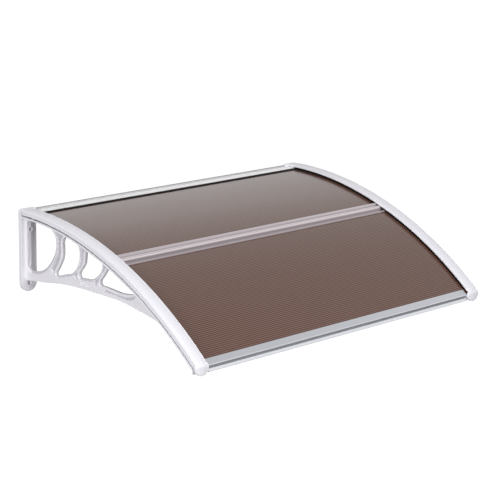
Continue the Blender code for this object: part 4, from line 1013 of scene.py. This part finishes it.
# Lamps: name, place, width and power
LAMPS = (("side_lamp", (-4.3, -1.7, 0.8), 1.2, 92), ("front_lamp", (-0.8, -3.9, 2.4), 3.0, 122))
LAMP_AIM = Vector((0, -0.35, -0.1))
CAMERA_PLACE = Vector((-2.5828, -3.3225, 1.0421))
CAMERA_AZIMUTH = math.radians(41.207)
CAMERA_ELEVATION = math.radians(16.245)
CAMERA_ROLL = math.radians(1.636)
CAMERA_LENS = 108
CAMERA_SENSOR = 36


def new_tree(block):
    """Empty node tree of a material or a world."""
    block.use_nodes = True
    block.node_tree.nodes.clear()
    return block.node_tree


def seen_rays(tree):
    """Light path node, and the rays by which the camera sees a thing, also through the sheets."""
    ray = add_node(tree, "LightPath", {})
    seen = add_node(tree, "Math", {0: ray.outputs["Is Camera Ray"], 1: ray.outputs["Is Transmission Ray"]},
                    operation="MAXIMUM")
    return ray, seen.outputs[0]


floor_mesh = bpy.data.meshes.new("floor")
bm = bmesh.new()
bmesh.ops.create_grid(bm, x_segments=1, y_segments=1, size=FLOOR_HALF,
                      matrix=Matrix.Translation((0, 0, -FLOOR_DROP)))
bm.to_mesh(floor_mesh)
bm.free()
floor = bpy.data.objects.new("floor", floor_mesh)
bpy.context.scene.collection.objects.link(floor)
pale_floor = bpy.data.materials.new("pale_floor")
tree = new_tree(pale_floor)
ray, seen = seen_rays(tree)
matt = add_node(tree, "BsdfDiffuse", {"Color": linear_colour("#D0D0D0")})
bright = add_node(tree, "Emission", {"Color": WHITE, "Strength": FLOOR_GLOW})
lit = add_node(tree, "AddShader", {0: matt.outputs[0], 1: bright.outputs[0]})
mixed = add_node(tree, "MixShader", {0: seen, 1: matt.outputs[0], 2: lit.outputs[0]})
add_node(tree, "OutputMaterial", {"Surface": mixed.outputs[0]})
floor_mesh.materials.append(pale_floor)

world = bpy.data.worlds.new("soft_sky")
bpy.context.scene.world = world
tree = new_tree(world)
ray, seen = seen_rays(tree)
level = add_node(tree, "MapRange", {"Value": seen, "To Min": SKY_LEVEL})
direction = add_node(tree, "TexCoord", {}).outputs["Generated"]
facing = add_node(tree, "SeparateXYZ", {"Vector": direction})
height = add_node(tree, "MapRange", {"Value": facing.outputs["Z"], "From Min": SHINE_START,
                                     "To Min": SHINE_START_LEVEL, "To Max": SHINE_ZENITH_LEVEL})
low = add_node(tree, "MapRange", {"Value": facing.outputs["Z"], "From Max": LIMIT_END,
                                  "To Min": LIMIT_LEVEL, "To Max": LIMIT_END_LEVEL})
front = add_node(tree, "MapRange", {"Value": facing.outputs["Y"], "From Max": FRONT_END,
                                    "To Max": FRONT_RISE})
limit = add_node(tree, "Math", {0: low.outputs[0], 1: front.outputs[0]}, operation="ADD")
dimmed = add_node(tree, "Math", {0: height.outputs[0], 1: limit.outputs[0]}, operation="MINIMUM")
shine = add_node(tree, "Math", {0: ray.outputs["Is Glossy Ray"], 1: dimmed.outputs[0]}, operation="MULTIPLY")
total = add_node(tree, "Math", {0: level.outputs[0], 1: shine.outputs[0]}, operation="ADD")
sky = add_node(tree, "Background", {"Color": WHITE, "Strength": total.outputs[0]})
add_node(tree, "OutputWorld", {"Surface": sky.outputs[0]})

for name, place, size, power in LAMPS:
    lamp_data = bpy.data.lights.new(name, "AREA")
    lamp_data.shape = "DISK"
    lamp_data.size = size
    lamp_data.energy = power
    lamp = bpy.data.objects.new(name, lamp_data)
    bpy.context.scene.collection.objects.link(lamp)
    lamp.location = place
    toward = Vector(place) - LAMP_AIM
    lamp.rotation_euler = toward.to_track_quat("Z", "Y").to_euler()

camera_data = bpy.data.cameras.new("camera")
camera_data.lens = CAMERA_LENS
camera_data.sensor_width = CAMERA_SENSOR
camera = bpy.data.objects.new("camera", camera_data)
bpy.context.scene.collection.objects.link(camera)
turn = Matrix.Rotation(-CAMERA_AZIMUTH, 4, "Z") @ Matrix.Rotation(QUARTER_TURN - CAMERA_ELEVATION, 4, "X")
camera.matrix_world = Matrix.Translation(CAMERA_PLACE) @ turn @ Matrix.Rotation(CAMERA_ROLL, 4, "Z")
bpy.context.scene.camera = camera
bpy.context.scene.view_settings.view_transform = "Standard"
